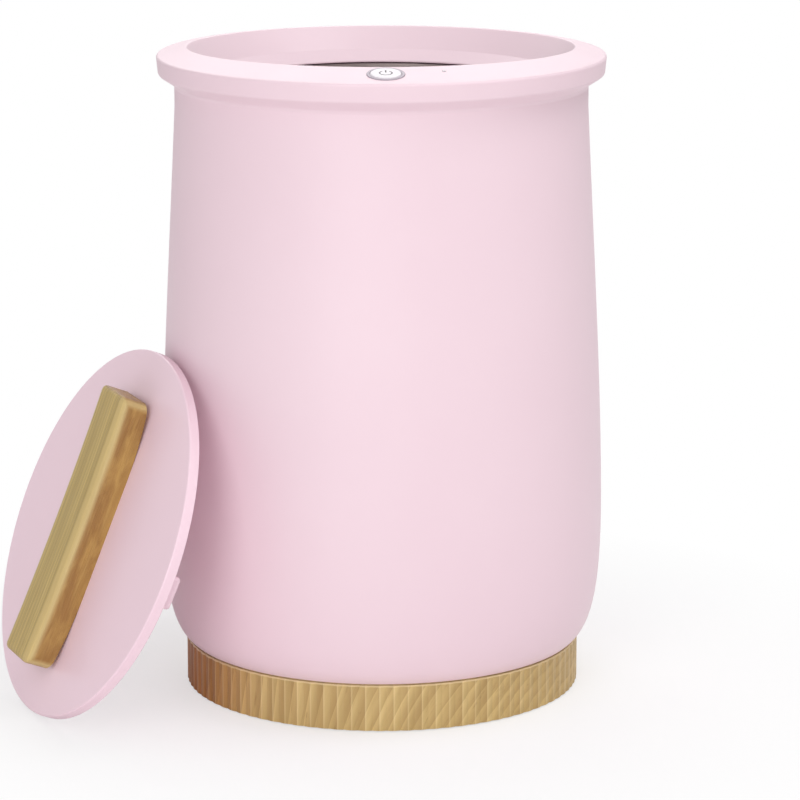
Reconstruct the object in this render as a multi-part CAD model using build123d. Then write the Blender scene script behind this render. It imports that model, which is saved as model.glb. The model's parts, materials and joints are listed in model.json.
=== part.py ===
from build123d import *
import math
import os

# Towel warmer bucket, in millimetres and degrees.  +Z is up, the control panel faces -Y, and the
# origin is on the floor under the bucket's axis.

# ---- the bucket as a whole ----
rim_radius = 150.0
rim_height = 430.0
wall = 2.6
seat_gap = 0.1
move_gap = 0.3

# ---- outer shell: radius and height of each point of its outline ----
foot_radius = 133.0
foot_flare = (9.6, 7.2)
belly_radius = 149.6
belly_height = 118.0
belly_drop = 58.0
belly_rise = 75.0
neck_radius = 138.0
neck_fall = 90.0
neck_taper = 0.048
neck_length = 13.0
collar_depth = 21.0
shell_flange_inner = 116.0
collar_lug_angles = (35.0, 145.0, 215.0, 325.0)
collar_lug_thickness = 4.0
collar_lug_drop = 13.0
collar_boss_circle = 129.5
collar_boss_radius = 3.8

# ---- top collar: rim band, panel crest, funnel, ledge and throat ----
band_drop = 12.0
band_tuck = 1.2
undercut_rise = 2.6
undercut_reach = 0.8
band_edge_round = 2.4
undercut_round = 3.0
crest_radius = 131.5
crest_setback = 15.5
crest_rise = 6.4
crest_land = 1.6
funnel_radius = 119.6
funnel_depth = 14.1
throat_radius = 108.6
throat_depth = 20.9
throat_lip = 0.9
well_setback = 10.0
spigot_length = 6.0

# ---- inner pot and what heats it ----
pot_lip = 1.2
pot_wall = 1.0
pot_floor_height = 78.0
pot_corner = 12.0
pot_flange_radius = 116.8
pot_screw_circle = 113.6
pot_screw_angles = (20, 110, 200, 290)
gasket_thickness = 1.0
gasket_inner = 110.0
film_thickness = 1.0
film_inset = 10.0
felt_thickness = 7.0
felt_rise = 24.0
felt_top_gap = 67.0
strap_thickness = 0.8
strap_width = 12.0
strap_rise = 28.0
strap_fall = 42.0
strap_clasp = 9.0
strap_ear_spacing = 6.0
film_seam_width = 6.0
heater_plate_radius = 80.0
heater_plate_thickness = 4.0
heater_coil_radius = 56.0
heater_coil_width = 6.4
heater_coil_depth = 4.0
cradle_radius = 70.0
cradle_rib = 8.0
cradle_rib_height = 6.0
cradle_leg_radius = 6.0
cradle_leg_angles = (30.0, 150.0, 270.0)
thermostat_radius = 8.0
thermostat_depth = 9.0
thermostat_drop = 43.0
thermostat_flange_length = 27.2
blade_thickness = 0.8
blade_width = 6.0
blade_length = 8.0
fuse_radius = 2.6
fuse_length = 22.0
fuse_wire_radius = 0.65
fuse_turn = 24.0
saddle_width = 13.0
saddle_height = 7.3

# ---- power button, its bezel and the indicator ----
button_inset = 20.6
button_radius = 10.0
button_thickness = 3.0
button_proud = 0.9
button_edge_round = 0.7
button_flange = 1.0
button_flange_height = 1.0
button_stem_radius = 2.5
button_travel = 1.2
bezel_radius = 12.3
bezel_proud = 0.5
bezel_seat = 0.6
bezel_sleeve_radius = 11.7
bezel_sleeve_length = 5.5
symbol_radius = 4.4
symbol_line = 0.9
symbol_depth = 0.4
symbol_gap_angle = 70.0
lens_turn = 17.1
lens_inset = 24.3
lens_radius = 1.3
lens_head_radius = 2.0
lens_proud = 0.15

# ---- control board under the panel ----
board_drop = 12.0
board_length = 78.0
board_width = 18.0
board_thickness = 1.6
board_shift = 5.0
board_corner = 4.0
board_boss_radius = 2.6
board_boss_places = (-28.0, 36.0)
switch_side = 6.0
switch_height = 3.8
plunger_radius = 1.65
plunger_length = 2.4
plunger_bore = 2.0
plunger_showing = 1.5
chip_size = 7.0
chip_height = 1.6
chip_place = -14.0
plug_length = 12.0
plug_width = 6.0
plug_height = 5.0
plug_wall = 1.2
plug_place = 18.0
led_height = 1.8
led_size = (3.2, 2.6)

# ---- base: ring, plate, feet ----
foot_height = 4.0
foot_pad_radius = 9.0
foot_circle = 104.0
foot_angles = (45.0, 135.0, 225.0, 315.0)
ring_lift = 0.8
ring_radius = 134.0
ring_wall = 5.0
ring_top = 31.5
ring_reeds = 90
ring_reed_depth = 0.7
ring_flange_inner = 112.0
ring_flange_thickness = 3.0
seam_height = 1.0
seam_depth = 2.2
plate_thickness = 3.0
plate_post_radius = 5.0
base_screw_circle = 121.5
base_screw_turn = 30.0
base_screws = 6
vent_width = 3.0
vent_length = 34.0
vent_pitch = 8.0
vents = 7
vent_setback = 58.0

# ---- power supply in the base ----
supply_length = 84.0
supply_width = 54.0
supply_standoff = 6.0
standoff_radius = 3.0
standoff_inset = 4.0
board_round = 2.0
relay_size = (19.0, 15.5, 15.0)
relay_place = (-20.0, 8.0)
capacitor_radius = 6.5
capacitor_height = 22.0
capacitor_groove = 0.4
capacitor_place = (6.0, -10.0)
core_size = (20.0, 17.0, 16.0)
winding_size = (13.0, 21.0, 11.0)
winding_lift = 2.5
transformer_place = (4.0, 10.0)
terminal_size = (10.0, 25.0, 12.0)
terminal_pitch = 8.0
terminal_bore = 2.2
terminal_bore_depth = 4.0
terminal_mouth = 4.0
terminal_mouth_height = 4.5
terminal_place = (28.0, -2.0)
moulded_round = 0.8

# ---- mains inlet in the back of the shell ----
inlet_height = 78.0
inlet_face = 150.0
inlet_width = 26.0
inlet_tall = 20.0
inlet_depth = 23.0
inlet_flange = 4.0
inlet_flange_thickness = 1.8
inlet_wall = 1.6
inlet_recess = 17.0
pin_width = 2.0
pin_height = 4.0
pin_length = 14.0
pin_spacing = 14.0
pin_lift = 1.3
earth_drop = 3.9
inlet_corner = 1.5
inlet_key = 5.0

# ---- fasteners ----
screw_radius = 1.75
screw_head_radius = 3.2
screw_head_height = 2.2
small_screw_radius = 1.1
small_head_radius = 2.1
small_head_height = 1.4

# ---- wiring ----
cable_radius = 2.4
cable_bend = 24.0
cable_wall_gap = 11.0
cable_side = 22.0
lead_slope = 40.0

# ---- lid, taken off and leaning on the bucket's left front ----
lid_radius = 126.5
lid_thickness = 7.3
lid_skin = 2.8
lid_edge_round = 1.1
lid_cover_thickness = 2.0
lid_lean = 22.0
lid_facing = 204.4
lid_offset = -18.0
lug_outer = 119.5
lug_width = 6.0
lug_depth = 8.0
lug_span = 11.0
lug_turn = -5.0
lug_round = 2.2
lug_corner = 2.6
cover_dish_radius = 84.0
cover_dish_depth = 0.8
lid_screw_circle = 112.0
lid_post_radius = 3.5
foam_gap = 2.0
handle_length = 189.0
handle_width = 46.0
handle_height = 21.0
handle_dish = 1.6
handle_end_lift = 4.6
handle_flat = 80.0
handle_turn = -2.6
handle_corner = 6.0
handle_edge = 6.0
handle_screw_pitch = 60.0
handle_screw_bite = 9.0

# ---- worked out from the sizes above ----
on_face = (Align.CENTER, Align.CENTER, Align.MIN)
plunger_top = plunger_showing + switch_height
foot_plane = ring_top + seam_height
shell_top = rim_height - collar_depth
neck_height = shell_top - neck_length
shell_inside = neck_radius - wall
throat_top = rim_height - throat_depth
throat_bottom = throat_top - throat_lip
gasket_bottom = throat_bottom - gasket_thickness
pot_radius = throat_radius - pot_lip
pot_outside = pot_radius + pot_wall
pot_underside = pot_floor_height - pot_wall
heater_bottom = pot_underside - heater_plate_thickness - heater_coil_depth
film_inner = pot_outside + seat_gap
felt_inner = film_inner + film_thickness + seat_gap
felt_bottom = pot_floor_height + felt_rise
felt_top = shell_top - felt_top_gap
film_bottom = felt_bottom + film_inset
film_top = felt_top - film_inset
thermostat_height = shell_top - thermostat_drop
strap_inner = felt_inner + felt_thickness + seat_gap
plate_bottom = foot_height
plate_top = plate_bottom + plate_thickness
plate_radius = ring_radius - ring_wall - seat_gap
foot_seat = plate_bottom + plate_thickness / 2
screw_seat = plate_top
button_bore = button_radius + move_gap
lug_top = shell_top - collar_lug_drop + collar_lug_thickness
lug_bottom = lug_top - collar_lug_thickness
supply_top = plate_top + supply_standoff + board_thickness
supply_centre = Pos(0, well_setback, supply_top)
inlet_centre = Pos(0, inlet_face, inlet_height)


def rod(radius, bottom, top):
    """Upright round bar from one height to another, on the origin's axis."""
    bar = Cylinder(radius, top - bottom, align=on_face)
    return Pos(0, 0, bottom) * bar


def tube(outer, inner, bottom, top):
    """Upright round sleeve on the origin's axis."""
    return rod(outer, bottom, top) - rod(inner, bottom - 1, top + 1)


def turned(outline):
    """Solid turned about the Z axis from a closed outline of radius and height."""
    return revolve(make_face(Plane.XZ * outline), Axis.Z)


def around(angles, radius, shape):
    """Copies of a shape at a radius, one for each angle from +X."""
    return [Rot(0, 0, angle) * Pos(radius, 0, 0) * shape for angle in angles]


def shell_outline(inset):
    """Curve of the shell's side from foot to neck, moved in by an inset."""
    belly = (belly_radius - inset, belly_height)
    foot = (foot_radius - inset, foot_plane + inset)
    above_foot = (foot[0] + foot_flare[0], foot[1] + foot_flare[1])
    below_belly = (belly[0], belly_height - belly_drop)
    neck = (neck_radius - inset, neck_height)
    above_belly = (belly[0], belly_height + belly_rise)
    below_neck = (neck[0] + neck_fall * neck_taper, neck_height - neck_fall)
    tuck_under = Bezier(foot, above_foot, below_belly, belly)
    return tuck_under + Bezier(belly, above_belly, below_neck, neck)


def screw(radius, head_radius, head_height, length):
    """Round-headed screw, head below its seat at z = 0 and shank upwards."""
    head = Pos(0, 0, -head_height) * Cylinder(
        head_radius, head_height, align=(Align.CENTER, Align.CENTER, Align.MIN)
    )
    head = fillet(head.edges().sort_by(Axis.Z)[0], head_height * 0.4)
    slot = Pos(0, 0, -head_height) * (
        Box(head_radius, radius * 0.4, head_height * 0.8)
        + Box(radius * 0.4, head_radius, head_height * 0.8)
    )
    return head + rod(radius, 0, length) - slot


# ---- outer shell ----
def inlet_opening(clearance):
    """Block that clears the inlet's body through the shell."""
    size = (inlet_width + 2 * clearance, inlet_depth * 3, inlet_tall + 2 * clearance)
    return inlet_centre * Box(*size)


def inlet_frame():
    """Flat pad through the shell's wall that the inlet's flange lies on."""
    deep = inlet_face - belly_radius + 4 * wall
    pad = Box(inlet_width + 2 * inlet_flange, deep, inlet_tall + 2 * inlet_flange)
    pad = inlet_centre * Pos(0, -deep / 2, 0) * pad
    return fillet(pad.edges().filter_by(Axis.Y), inlet_flange)


def base_screw_angles():
    return [base_screw_turn + step * 360.0 / base_screws for step in range(base_screws)]


def outer_shell():
    outside = shell_outline(0)
    inside = shell_outline(wall)
    top_out = Line((neck_radius, neck_height), (neck_radius, shell_top))
    top_edge = Line((neck_radius, shell_top), (shell_inside, shell_top))
    top_in = Line((shell_inside, shell_top), (shell_inside, neck_height))
    floor_in = Line((foot_radius - wall, foot_plane + wall), (shell_flange_inner, foot_plane + wall))
    lip = Line((shell_flange_inner, foot_plane + wall), (shell_flange_inner, foot_plane))
    floor_out = Line((shell_flange_inner, foot_plane), (foot_radius, foot_plane))
    shell = turned(outside + top_out + top_edge + top_in + inside + floor_in + lip + floor_out)
    lug_root = shell_inside + wall / 2
    lug_length = 2 * (lug_root - collar_boss_circle + collar_boss_radius)
    lug_block = Box(lug_length, 2 * collar_boss_radius, collar_lug_thickness, align=on_face)
    for lug in around(collar_lug_angles, lug_root, Pos(0, 0, lug_bottom) * lug_block):
        shell += lug & rod(lug_root, lug_bottom, lug_top)
    for hole in around(collar_lug_angles, collar_boss_circle, rod(screw_radius + seat_gap, 0, shell_top)):
        shell -= hole & rod(shell_inside, lug_bottom, lug_top)
    shell += inlet_frame()
    shell -= inlet_opening(seat_gap)
    for hole in around(base_screw_angles(), base_screw_circle, rod(screw_radius, 0, shell_top)):
        shell -= hole & rod(foot_radius, 0, foot_plane + wall)
    return shell


# ---- top collar ----
def crest_plane(drop):
    """Tilted plane through the crest, high at the front, with its centre over the crest's."""
    tilt = math.atan2(crest_rise, 2 * crest_radius)
    centre = (0, crest_setback, rim_height + crest_rise / 2 - drop)
    return Plane(origin=centre, x_dir=(1, 0, 0), z_dir=(0, math.sin(tilt), math.cos(tilt)))


def disc(plane, radius):
    return plane * Circle(radius)


def level(height, setback):
    return Plane(origin=(0, setback, height))


def ruled(lower, upper):
    return loft([lower, upper], ruled=True)


def crest_reach(turn):
    """Distance from the bucket's axis to the crest, at an angle from the front."""
    across = crest_setback * math.cos(math.radians(turn))
    return -across + math.sqrt(across**2 + crest_radius**2 - crest_setback**2)


def panel_plane(turn, inset):
    """Plane on the panel, at an angle from the front and so far up its slope from the rim."""
    reach = crest_reach(turn)
    crest_y = -reach * math.cos(math.radians(turn))
    tilt = crest_rise / (2 * crest_radius)
    rise = crest_rise / 2 + tilt * (crest_setback - crest_y)
    slope = math.atan2(rise, rim_radius - reach)
    out_x = math.sin(math.radians(turn))
    out_y = -math.cos(math.radians(turn))
    distance = rim_radius - inset * math.cos(slope)
    return Plane(
        origin=(out_x * distance, out_y * distance, rim_height + inset * math.sin(slope)),
        x_dir=(-out_y, out_x, 0),
        z_dir=(out_x * math.sin(slope), out_y * math.sin(slope), math.cos(slope)),
    )


button_plane = panel_plane(0, button_inset)
lens_plane = panel_plane(lens_turn, lens_inset)
board_plane = button_plane.offset(-board_drop)


def band_outline(inset):
    """Outline of the rim band and its undercut, from the axis out, moved in by an inset."""
    foot = shell_top + inset
    knee = (neck_radius + undercut_reach - inset, shell_top + undercut_rise + inset)
    tip = (rim_radius - band_tuck - inset, rim_height - band_drop + inset)
    crown = (rim_radius - inset, rim_height)
    path = FilletPolyline(
        (neck_radius - inset, foot - 2 * inset), knee, tip, crown,
        radius=(undercut_round - inset * 0.5, band_edge_round - inset * 0.5),
    )
    heel = (neck_radius - inset, foot - 2 * inset)
    return path + Polyline(crown, (0, rim_height), (0, foot - 2 * inset), heel)


def collar_outside():
    """Solid block of the collar's outer shape, with no funnel in it."""
    crown = ruled(disc(level(rim_height, 0), rim_radius), disc(crest_plane(0), crest_radius))
    return turned(band_outline(0)) + crown


def collar_inside():
    """Hollow behind the band and under the panel, one wall in from the outside."""
    crown = ruled(
        disc(level(rim_height - wall, 0), rim_radius - wall),
        disc(crest_plane(wall), crest_radius),
    )
    return turned(band_outline(wall)) + crown


def well(inset):
    """The funnel, its ledge and the throat as one solid, made wider by an inset."""
    mouth = crest_radius - crest_land + inset
    ledge_height = rim_height - funnel_depth - inset
    ledge_edge = disc(level(ledge_height, well_setback), funnel_radius + inset)
    throat_edge = disc(level(throat_top - inset, well_setback), throat_radius + inset)
    throat_foot = shell_top - spigot_length
    throat = Pos(0, well_setback, 0) * rod(throat_radius + inset, throat_foot, throat_top - inset)
    funnel = ruled(ledge_edge, disc(crest_plane(inset), mouth))
    sky = extrude(disc(crest_plane(inset), mouth), crest_rise)
    return throat + ruled(throat_edge, ledge_edge) + funnel + sky


def pot_screw_places():
    axis = Pos(0, well_setback, 0)
    return [axis * Rot(0, 0, angle) * Pos(pot_screw_circle, 0, 0) for angle in pot_screw_angles]


def top_collar():
    block = collar_outside()
    inner_block = rod(shell_inside - seat_gap, throat_bottom, shell_top)
    skin = (well(wall) - well(0)) & (block + inner_block)
    collar = block - collar_inside() - well(0) + skin
    spigot_radius = shell_inside - seat_gap
    collar += tube(spigot_radius, spigot_radius - wall, shell_top - spigot_length, shell_top)
    collar += tube(neck_radius, spigot_radius - wall, shell_top, shell_top + wall)
    room = collar_inside() - well(wall / 2)
    upper_post = rod(collar_boss_radius, shell_top, rim_height)
    for post in around(collar_lug_angles, collar_boss_circle, upper_post):
        collar += post & room
    lower_post = rod(collar_boss_radius, lug_top, shell_top + wall)
    for post in around(collar_lug_angles, collar_boss_circle, lower_post):
        collar += post & rod(spigot_radius, lug_top, shell_top + wall)
    for hole in around(collar_lug_angles, collar_boss_circle, rod(screw_radius, 0, shell_top + wall)):
        collar -= hole
    pot_post = rod(small_head_radius + seat_gap, throat_bottom, throat_top + wall)
    for place in pot_screw_places():
        collar += place * pot_post - well(wall / 2)
    for place in pot_screw_places():
        collar -= place * rod(small_screw_radius, 0, throat_top + wall / 2)
    for place in board_boss_planes():
        collar += (place * rod(board_boss_radius, 0, board_drop)) & room
        collar -= place * rod(small_screw_radius, -1, board_drop - 2 * wall)
    collar -= button_plane * rod(bezel_sleeve_radius + seat_gap, -3 * wall, 3 * wall)
    collar -= button_plane * rod(bezel_radius + seat_gap, -bezel_seat, 3 * wall)
    collar -= lens_plane * rod(lens_radius + seat_gap, -3 * wall, 3 * wall)
    return collar


# ---- inner pot, gasket and heating parts ----
def in_well(shape):
    """Moves a shape made on the bucket's axis onto the pot's axis."""
    return Pos(0, well_setback, 0) * shape


def pot_outline(radius, floor, corner):
    """Turned shape of the pot's bowl with a rounded corner at its floor."""
    bowl = rod(radius, floor, gasket_bottom)
    return fillet(bowl.edges().sort_by(Axis.Z)[0], corner)


def inner_pot():
    flange = rod(pot_flange_radius, gasket_bottom - pot_wall, gasket_bottom)
    outside = pot_outline(pot_outside, pot_underside, pot_corner + pot_wall)
    inside = pot_outline(pot_radius, pot_floor_height, pot_corner)
    pot = in_well(outside + flange - inside)
    for place in pot_screw_places():
        pot -= place * rod(small_screw_radius + seat_gap, 0, gasket_bottom)
    return pot


def pot_gasket():
    gasket = in_well(tube(pot_flange_radius, gasket_inner, gasket_bottom, throat_bottom))
    for place in pot_screw_places():
        gasket -= place * rod(small_screw_radius + seat_gap, 0, throat_bottom + 1)
    return gasket


def pot_screws():
    seat = gasket_bottom - pot_wall
    reach = throat_top + wall / 2 - seat
    one = screw(small_screw_radius, small_head_radius, small_head_height, reach)
    return [place * Pos(0, 0, seat) * one for place in pot_screw_places()]


def heating_film():
    film = tube(film_inner + film_thickness, film_inner, film_bottom, film_top)
    seam = Box(film_seam_width, 8 * film_thickness, film_top, align=on_face)
    seam = Pos(0, film_inner, film_bottom / 2) * seam
    return in_well(film - seam)


def felt_wrap():
    outer = felt_inner + felt_thickness
    return in_well(tube(outer, felt_inner, felt_bottom, felt_top))


def strap_heights():
    """Lower edge of each strap."""
    return felt_bottom + strap_rise, felt_top - strap_fall


def clamp_strap(height):
    """Steel strap round the felt, with two ears and a screw pulling them together."""
    outer = strap_inner + strap_thickness
    middle = height + strap_width / 2
    strap = tube(outer, strap_inner, height, height + strap_width)
    ear = Box(strap_thickness, strap_clasp, strap_width)
    for side in (-1, 1):
        ear_y = -outer - strap_clasp / 2 + strap_thickness
        strap += Pos(side * strap_ear_spacing / 2, ear_y, middle) * ear
    gap = Box(strap_ear_spacing - strap_thickness, 4 * strap_thickness, 2 * strap_width)
    strap -= Pos(0, -outer + strap_thickness / 2, middle) * gap
    bolt = Rot(0, 90, 0) * rod(small_screw_radius, -strap_ear_spacing, strap_ear_spacing)
    head_seat = (strap_ear_spacing + strap_thickness) / 2
    head = Rot(0, 90, 0) * rod(small_head_radius, head_seat, strap_ear_spacing)
    return in_well(strap + Pos(0, -outer - strap_clasp / 2, middle) * (bolt + head))


def bottom_heater():
    top = pot_underside
    plate = rod(heater_plate_radius, top - heater_plate_thickness, top)
    plate = fillet(plate.edges().sort_by(Axis.Z)[0], heater_plate_thickness / 4)
    coil_inner = heater_coil_radius - heater_coil_width
    coil = tube(heater_coil_radius, coil_inner, heater_bottom, top)
    return in_well(plate + coil)


def pot_cradle():
    """Ring under the bottom heater on three legs that stand on the base plate."""
    top = heater_bottom
    outer = cradle_radius + cradle_rib
    ring = tube(outer, cradle_radius - cradle_rib, top - cradle_rib_height, top)
    rim = tube(outer, cradle_radius, top, pot_underside - heater_plate_thickness)
    cradle = ring + rim
    for leg in around(cradle_leg_angles, cradle_radius, rod(cradle_leg_radius, plate_top, top - 1)):
        cradle += leg
    return in_well(cradle)


def thermostat():
    """Round snap thermostat against the pot, with its flange and two blades."""
    body = rod(thermostat_radius, 0, thermostat_depth)
    flange = Box(thermostat_flange_length, thermostat_radius, pot_wall, align=on_face)
    flange = fillet(flange.edges().filter_by(Axis.Z), thermostat_radius / 4)
    shape = body + flange
    for side in (-1, 1):
        blade = Box(blade_thickness, blade_width, blade_length, align=on_face)
        shape += Pos(side * thermostat_radius / 2, 0, thermostat_depth) * blade
    seat = (0, -pot_outside - seat_gap, thermostat_height)
    return in_well(Plane(origin=seat, x_dir=(1, 0, 0), z_dir=(0, -1, 0)) * shape)


def thermal_fuse():
    """Cut-out fuse in its sleeve, held along the pot beside the thermostat."""
    sleeve = rod(fuse_radius, -fuse_length / 2, fuse_length / 2)
    wires = rod(fuse_wire_radius, -fuse_length, fuse_length)
    saddle = Pos(0, fuse_radius / 2, 0) * Box(saddle_width, fuse_radius, saddle_height)
    seat = Pos(0, -pot_outside - seat_gap - fuse_radius, thermostat_height)
    fuse = seat * (sleeve + wires + saddle)
    trimmed = Rot(0, 0, fuse_turn) * fuse - rod(pot_outside + seat_gap / 2, 0, rim_height)
    return in_well(trimmed)


# ---- button, bezel, lens and board ----
def board_boss_planes():
    return [board_plane * Pos(place, 0, 0) for place in board_boss_places]


def button_bezel():
    ring = rod(bezel_radius, -bezel_seat, bezel_proud)
    ring = fillet(ring.edges().filter_by(GeomType.CIRCLE).sort_by(Axis.Z)[-1], bezel_proud * 0.8)
    sleeve = rod(bezel_sleeve_radius, -bezel_sleeve_length, -bezel_seat)
    guide_floor = -button_thickness + button_flange_height + move_gap + button_proud
    counterbore = rod(button_bore + button_flange, -bezel_sleeve_length - 1, guide_floor)
    return button_plane * (ring + sleeve - rod(button_bore, -wall * 3, wall) - counterbore)


def symbol_shape(depth):
    """Power sign: an open ring with a bar in its gap, `depth` deep from the button's face."""
    ring = tube(symbol_radius, symbol_radius - symbol_line, button_proud - depth, button_proud)
    half = math.radians(symbol_gap_angle / 2)
    reach = 2 * symbol_radius
    wedge = make_face(Polyline(
        (0, 0), (-reach * math.sin(half), reach * math.cos(half)),
        (reach * math.sin(half), reach * math.cos(half)), (0, 0),
    ))
    ring -= Pos(0, 0, button_proud - 2 * depth) * extrude(wedge, 4 * depth)
    bar = Pos(0, symbol_radius * 0.7, button_proud - depth) * Box(
        symbol_line, symbol_radius, depth, align=on_face
    )
    return ring + bar


def power_button():
    cap = rod(button_radius, button_proud - button_thickness, button_proud)
    cap = fillet(cap.edges().filter_by(GeomType.CIRCLE).sort_by(Axis.Z)[-1], button_edge_round)
    bottom = button_proud - button_thickness
    cap += rod(button_radius + button_flange, bottom, bottom + button_flange_height)
    cap += rod(button_stem_radius, plunger_top - board_drop, bottom)
    return button_plane * (cap - symbol_shape(symbol_depth))


def button_symbol():
    return button_plane * symbol_shape(symbol_depth)


def switch_plunger():
    top = plunger_top - board_drop
    return button_plane * rod(plunger_radius, top - plunger_length, top)


def tact_switch():
    body = Box(switch_side, switch_side, switch_height, align=on_face)
    body = chamfer(body.edges().filter_by(Axis.Z), switch_side / 10)
    body -= rod(plunger_bore, switch_height - plunger_length - button_travel, switch_height + 1)
    return board_plane * body


def lens_drop():
    """Distance from the panel down the lens's own axis to the control board."""
    above_board = board_plane.to_local_coords(lens_plane.origin).Z
    return above_board / board_plane.z_dir.dot(lens_plane.z_dir)


def lens_foot():
    """Where the lens's axis meets the control board, in the board's own plane."""
    return board_plane.to_local_coords(lens_plane.origin - lens_plane.z_dir * lens_drop())


def indicator_lens():
    pipe = rod(lens_radius, move_gap + led_height - lens_drop(), lens_proud)
    pipe = fillet(pipe.edges().sort_by(Axis.Z)[-1], lens_proud * 0.9)
    pipe += rod(lens_head_radius, -2 * wall, -wall - move_gap)
    return lens_plane * pipe


def status_led():
    foot = lens_foot()
    led = Box(led_size[0], led_size[1], led_height, align=on_face)
    return board_plane * Pos(foot.X, foot.Y, 0) * led


def control_board():
    board = Pos(board_shift, 0, -board_thickness) * Box(
        board_length, board_width, board_thickness, align=on_face
    )
    board = chamfer(board.edges().filter_by(Axis.Z), board_corner)
    for place in board_boss_places:
        board -= Pos(place, 0, 0) * rod(small_screw_radius + seat_gap, -wall, wall)
    return board_plane * board


def board_chip():
    chip = Box(chip_size, chip_size, chip_height, align=on_face)
    chip = chamfer(chip.edges(), chip_height / 6)
    return board_plane * Pos(chip_place, 0, -board_thickness - chip_height) * chip


def board_plug():
    """Cable connector under the board, open downwards."""
    plug = Box(plug_length, plug_width, plug_height, align=on_face)
    mouth = Box(plug_length - 2 * plug_wall, plug_width - 2 * plug_wall, plug_height, align=on_face)
    plug -= Pos(0, 0, -2 * plug_wall) * mouth
    return board_plane * Pos(plug_place, 0, -board_thickness - plug_height) * plug


def board_screws():
    one = screw(small_screw_radius, small_head_radius, small_head_height, board_thickness + 2 * wall)
    return [place * Pos(0, 0, -board_thickness) * one for place in board_boss_planes()]


def collar_screws():
    reach = shell_top + wall / 2 - lug_bottom
    one = screw(screw_radius, screw_head_radius, screw_head_height, reach)
    return around(collar_lug_angles, collar_boss_circle, Pos(0, 0, lug_bottom) * one)


# ---- base ----
def reeded_disc(radius, thickness):
    """Round slab with shallow upright reeds round its edge."""
    arcs = []
    step = 2 * math.pi / ring_reeds
    groove = radius - ring_reed_depth
    for reed in range(ring_reeds):
        start, middle, end = (reed * step, (reed + 0.5) * step, (reed + 1) * step)
        arcs.append(ThreePointArc(
            (groove * math.cos(start), groove * math.sin(start)),
            (radius * math.cos(middle), radius * math.sin(middle)),
            (groove * math.cos(end), groove * math.sin(end)),
        ))
    return extrude(make_face(arcs), thickness)


def base_ring():
    ring = Pos(0, 0, ring_lift) * reeded_disc(ring_radius, ring_top - ring_lift)
    ring -= rod(ring_radius - ring_wall, 0, ring_top - ring_flange_thickness)
    ring += rod(foot_radius - seam_depth, ring_top - ring_flange_thickness, foot_plane)
    ring -= rod(ring_flange_inner, 0, foot_plane + 1)
    clearance = rod(screw_radius + seat_gap, 0, foot_plane + 1)
    for hole in around(base_screw_angles(), base_screw_circle, clearance):
        ring -= hole
    return ring


def base_plate():
    plate = rod(plate_radius, plate_bottom, plate_top)
    post_top = ring_top - ring_flange_thickness
    post = rod(plate_post_radius, plate_bottom, post_top)
    sink = rod(screw_head_radius + seat_gap, 0, screw_seat)
    bore = rod(screw_radius + seat_gap, 0, post_top + 1)
    for column in around(base_screw_angles(), base_screw_circle, post):
        plate += column
    for hole in around(base_screw_angles(), base_screw_circle, sink + bore):
        plate -= hole
    for spot in foot_places():
        plate -= spot * rod(foot_pad_radius + seat_gap, 0, foot_seat)
    vent = Box(vent_width, vent_length, 4 * plate_thickness)
    vent = fillet(vent.edges().filter_by(Axis.Z), vent_width * 0.45)
    for step in range(vents):
        plate -= Pos((step - (vents - 1) / 2) * vent_pitch, -vent_setback, plate_bottom) * vent
    for place in standoff_places():
        plate += place * rod(standoff_radius, plate_top - 1, plate_top + supply_standoff)
    for place in standoff_places():
        plate -= place * rod(small_screw_radius, plate_top, plate_top + supply_standoff + 1)
    return plate


def base_screws_group():
    reach = foot_plane + wall - screw_seat
    one = screw(screw_radius, screw_head_radius, screw_head_height, reach)
    return around(base_screw_angles(), base_screw_circle, Pos(0, 0, screw_seat) * one)


def foot_places():
    """Four feet under the edge of the plate and one under its middle."""
    corners = [Rot(0, 0, angle) * Pos(foot_circle, 0, 0) for angle in foot_angles]
    return corners + [Pos(0, 0, 0)]


def feet():
    pad = rod(foot_pad_radius, 0, foot_seat)
    pad = fillet(pad.edges().sort_by(Axis.Z)[0], ring_lift)
    return [place * pad for place in foot_places()]


# ---- power supply ----
def standoff_places():
    x = supply_length / 2 - standoff_inset
    y = supply_width / 2 - standoff_inset
    return [in_well(Pos(side * x, end * y, 0)) for side in (-1, 1) for end in (-1, 1)]


def power_board():
    board = supply_centre * Pos(0, 0, -board_thickness) * Box(
        supply_length, supply_width, board_thickness, align=on_face
    )
    board = fillet(board.edges().filter_by(Axis.Z), board_round)
    for place in standoff_places():
        board -= place * rod(small_screw_radius + seat_gap, plate_top, supply_top + 1)
    return board


def power_board_screws():
    reach = board_thickness + supply_standoff * 0.8
    one = screw(small_screw_radius, small_head_radius, small_head_height, reach)
    return [place * Pos(0, 0, supply_top) * Rot(180, 0, 0) * one for place in standoff_places()]


def relay():
    case = Box(*relay_size, align=on_face)
    case = fillet(case.edges().filter_by(Axis.Z), moulded_round)
    return supply_centre * Pos(*relay_place) * case


def smoothing_capacitor():
    can = rod(capacitor_radius, 0, capacitor_height)
    can = fillet(can.edges().sort_by(Axis.Z)[-1], moulded_round)
    groove_bottom = capacitor_radius / 2
    groove = tube(2 * capacitor_radius, capacitor_radius - capacitor_groove, groove_bottom,
                  groove_bottom + 2 * capacitor_groove)
    return supply_centre * Pos(*capacitor_place) * (can - groove)


def transformer():
    core = Box(*core_size, align=on_face)
    winding = Pos(0, 0, winding_lift) * Box(*winding_size, align=on_face)
    winding = fillet(winding.edges().filter_by(Axis.X), winding_size[2] / 4)
    return supply_centre * Pos(*transformer_place) * (core + winding)


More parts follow.
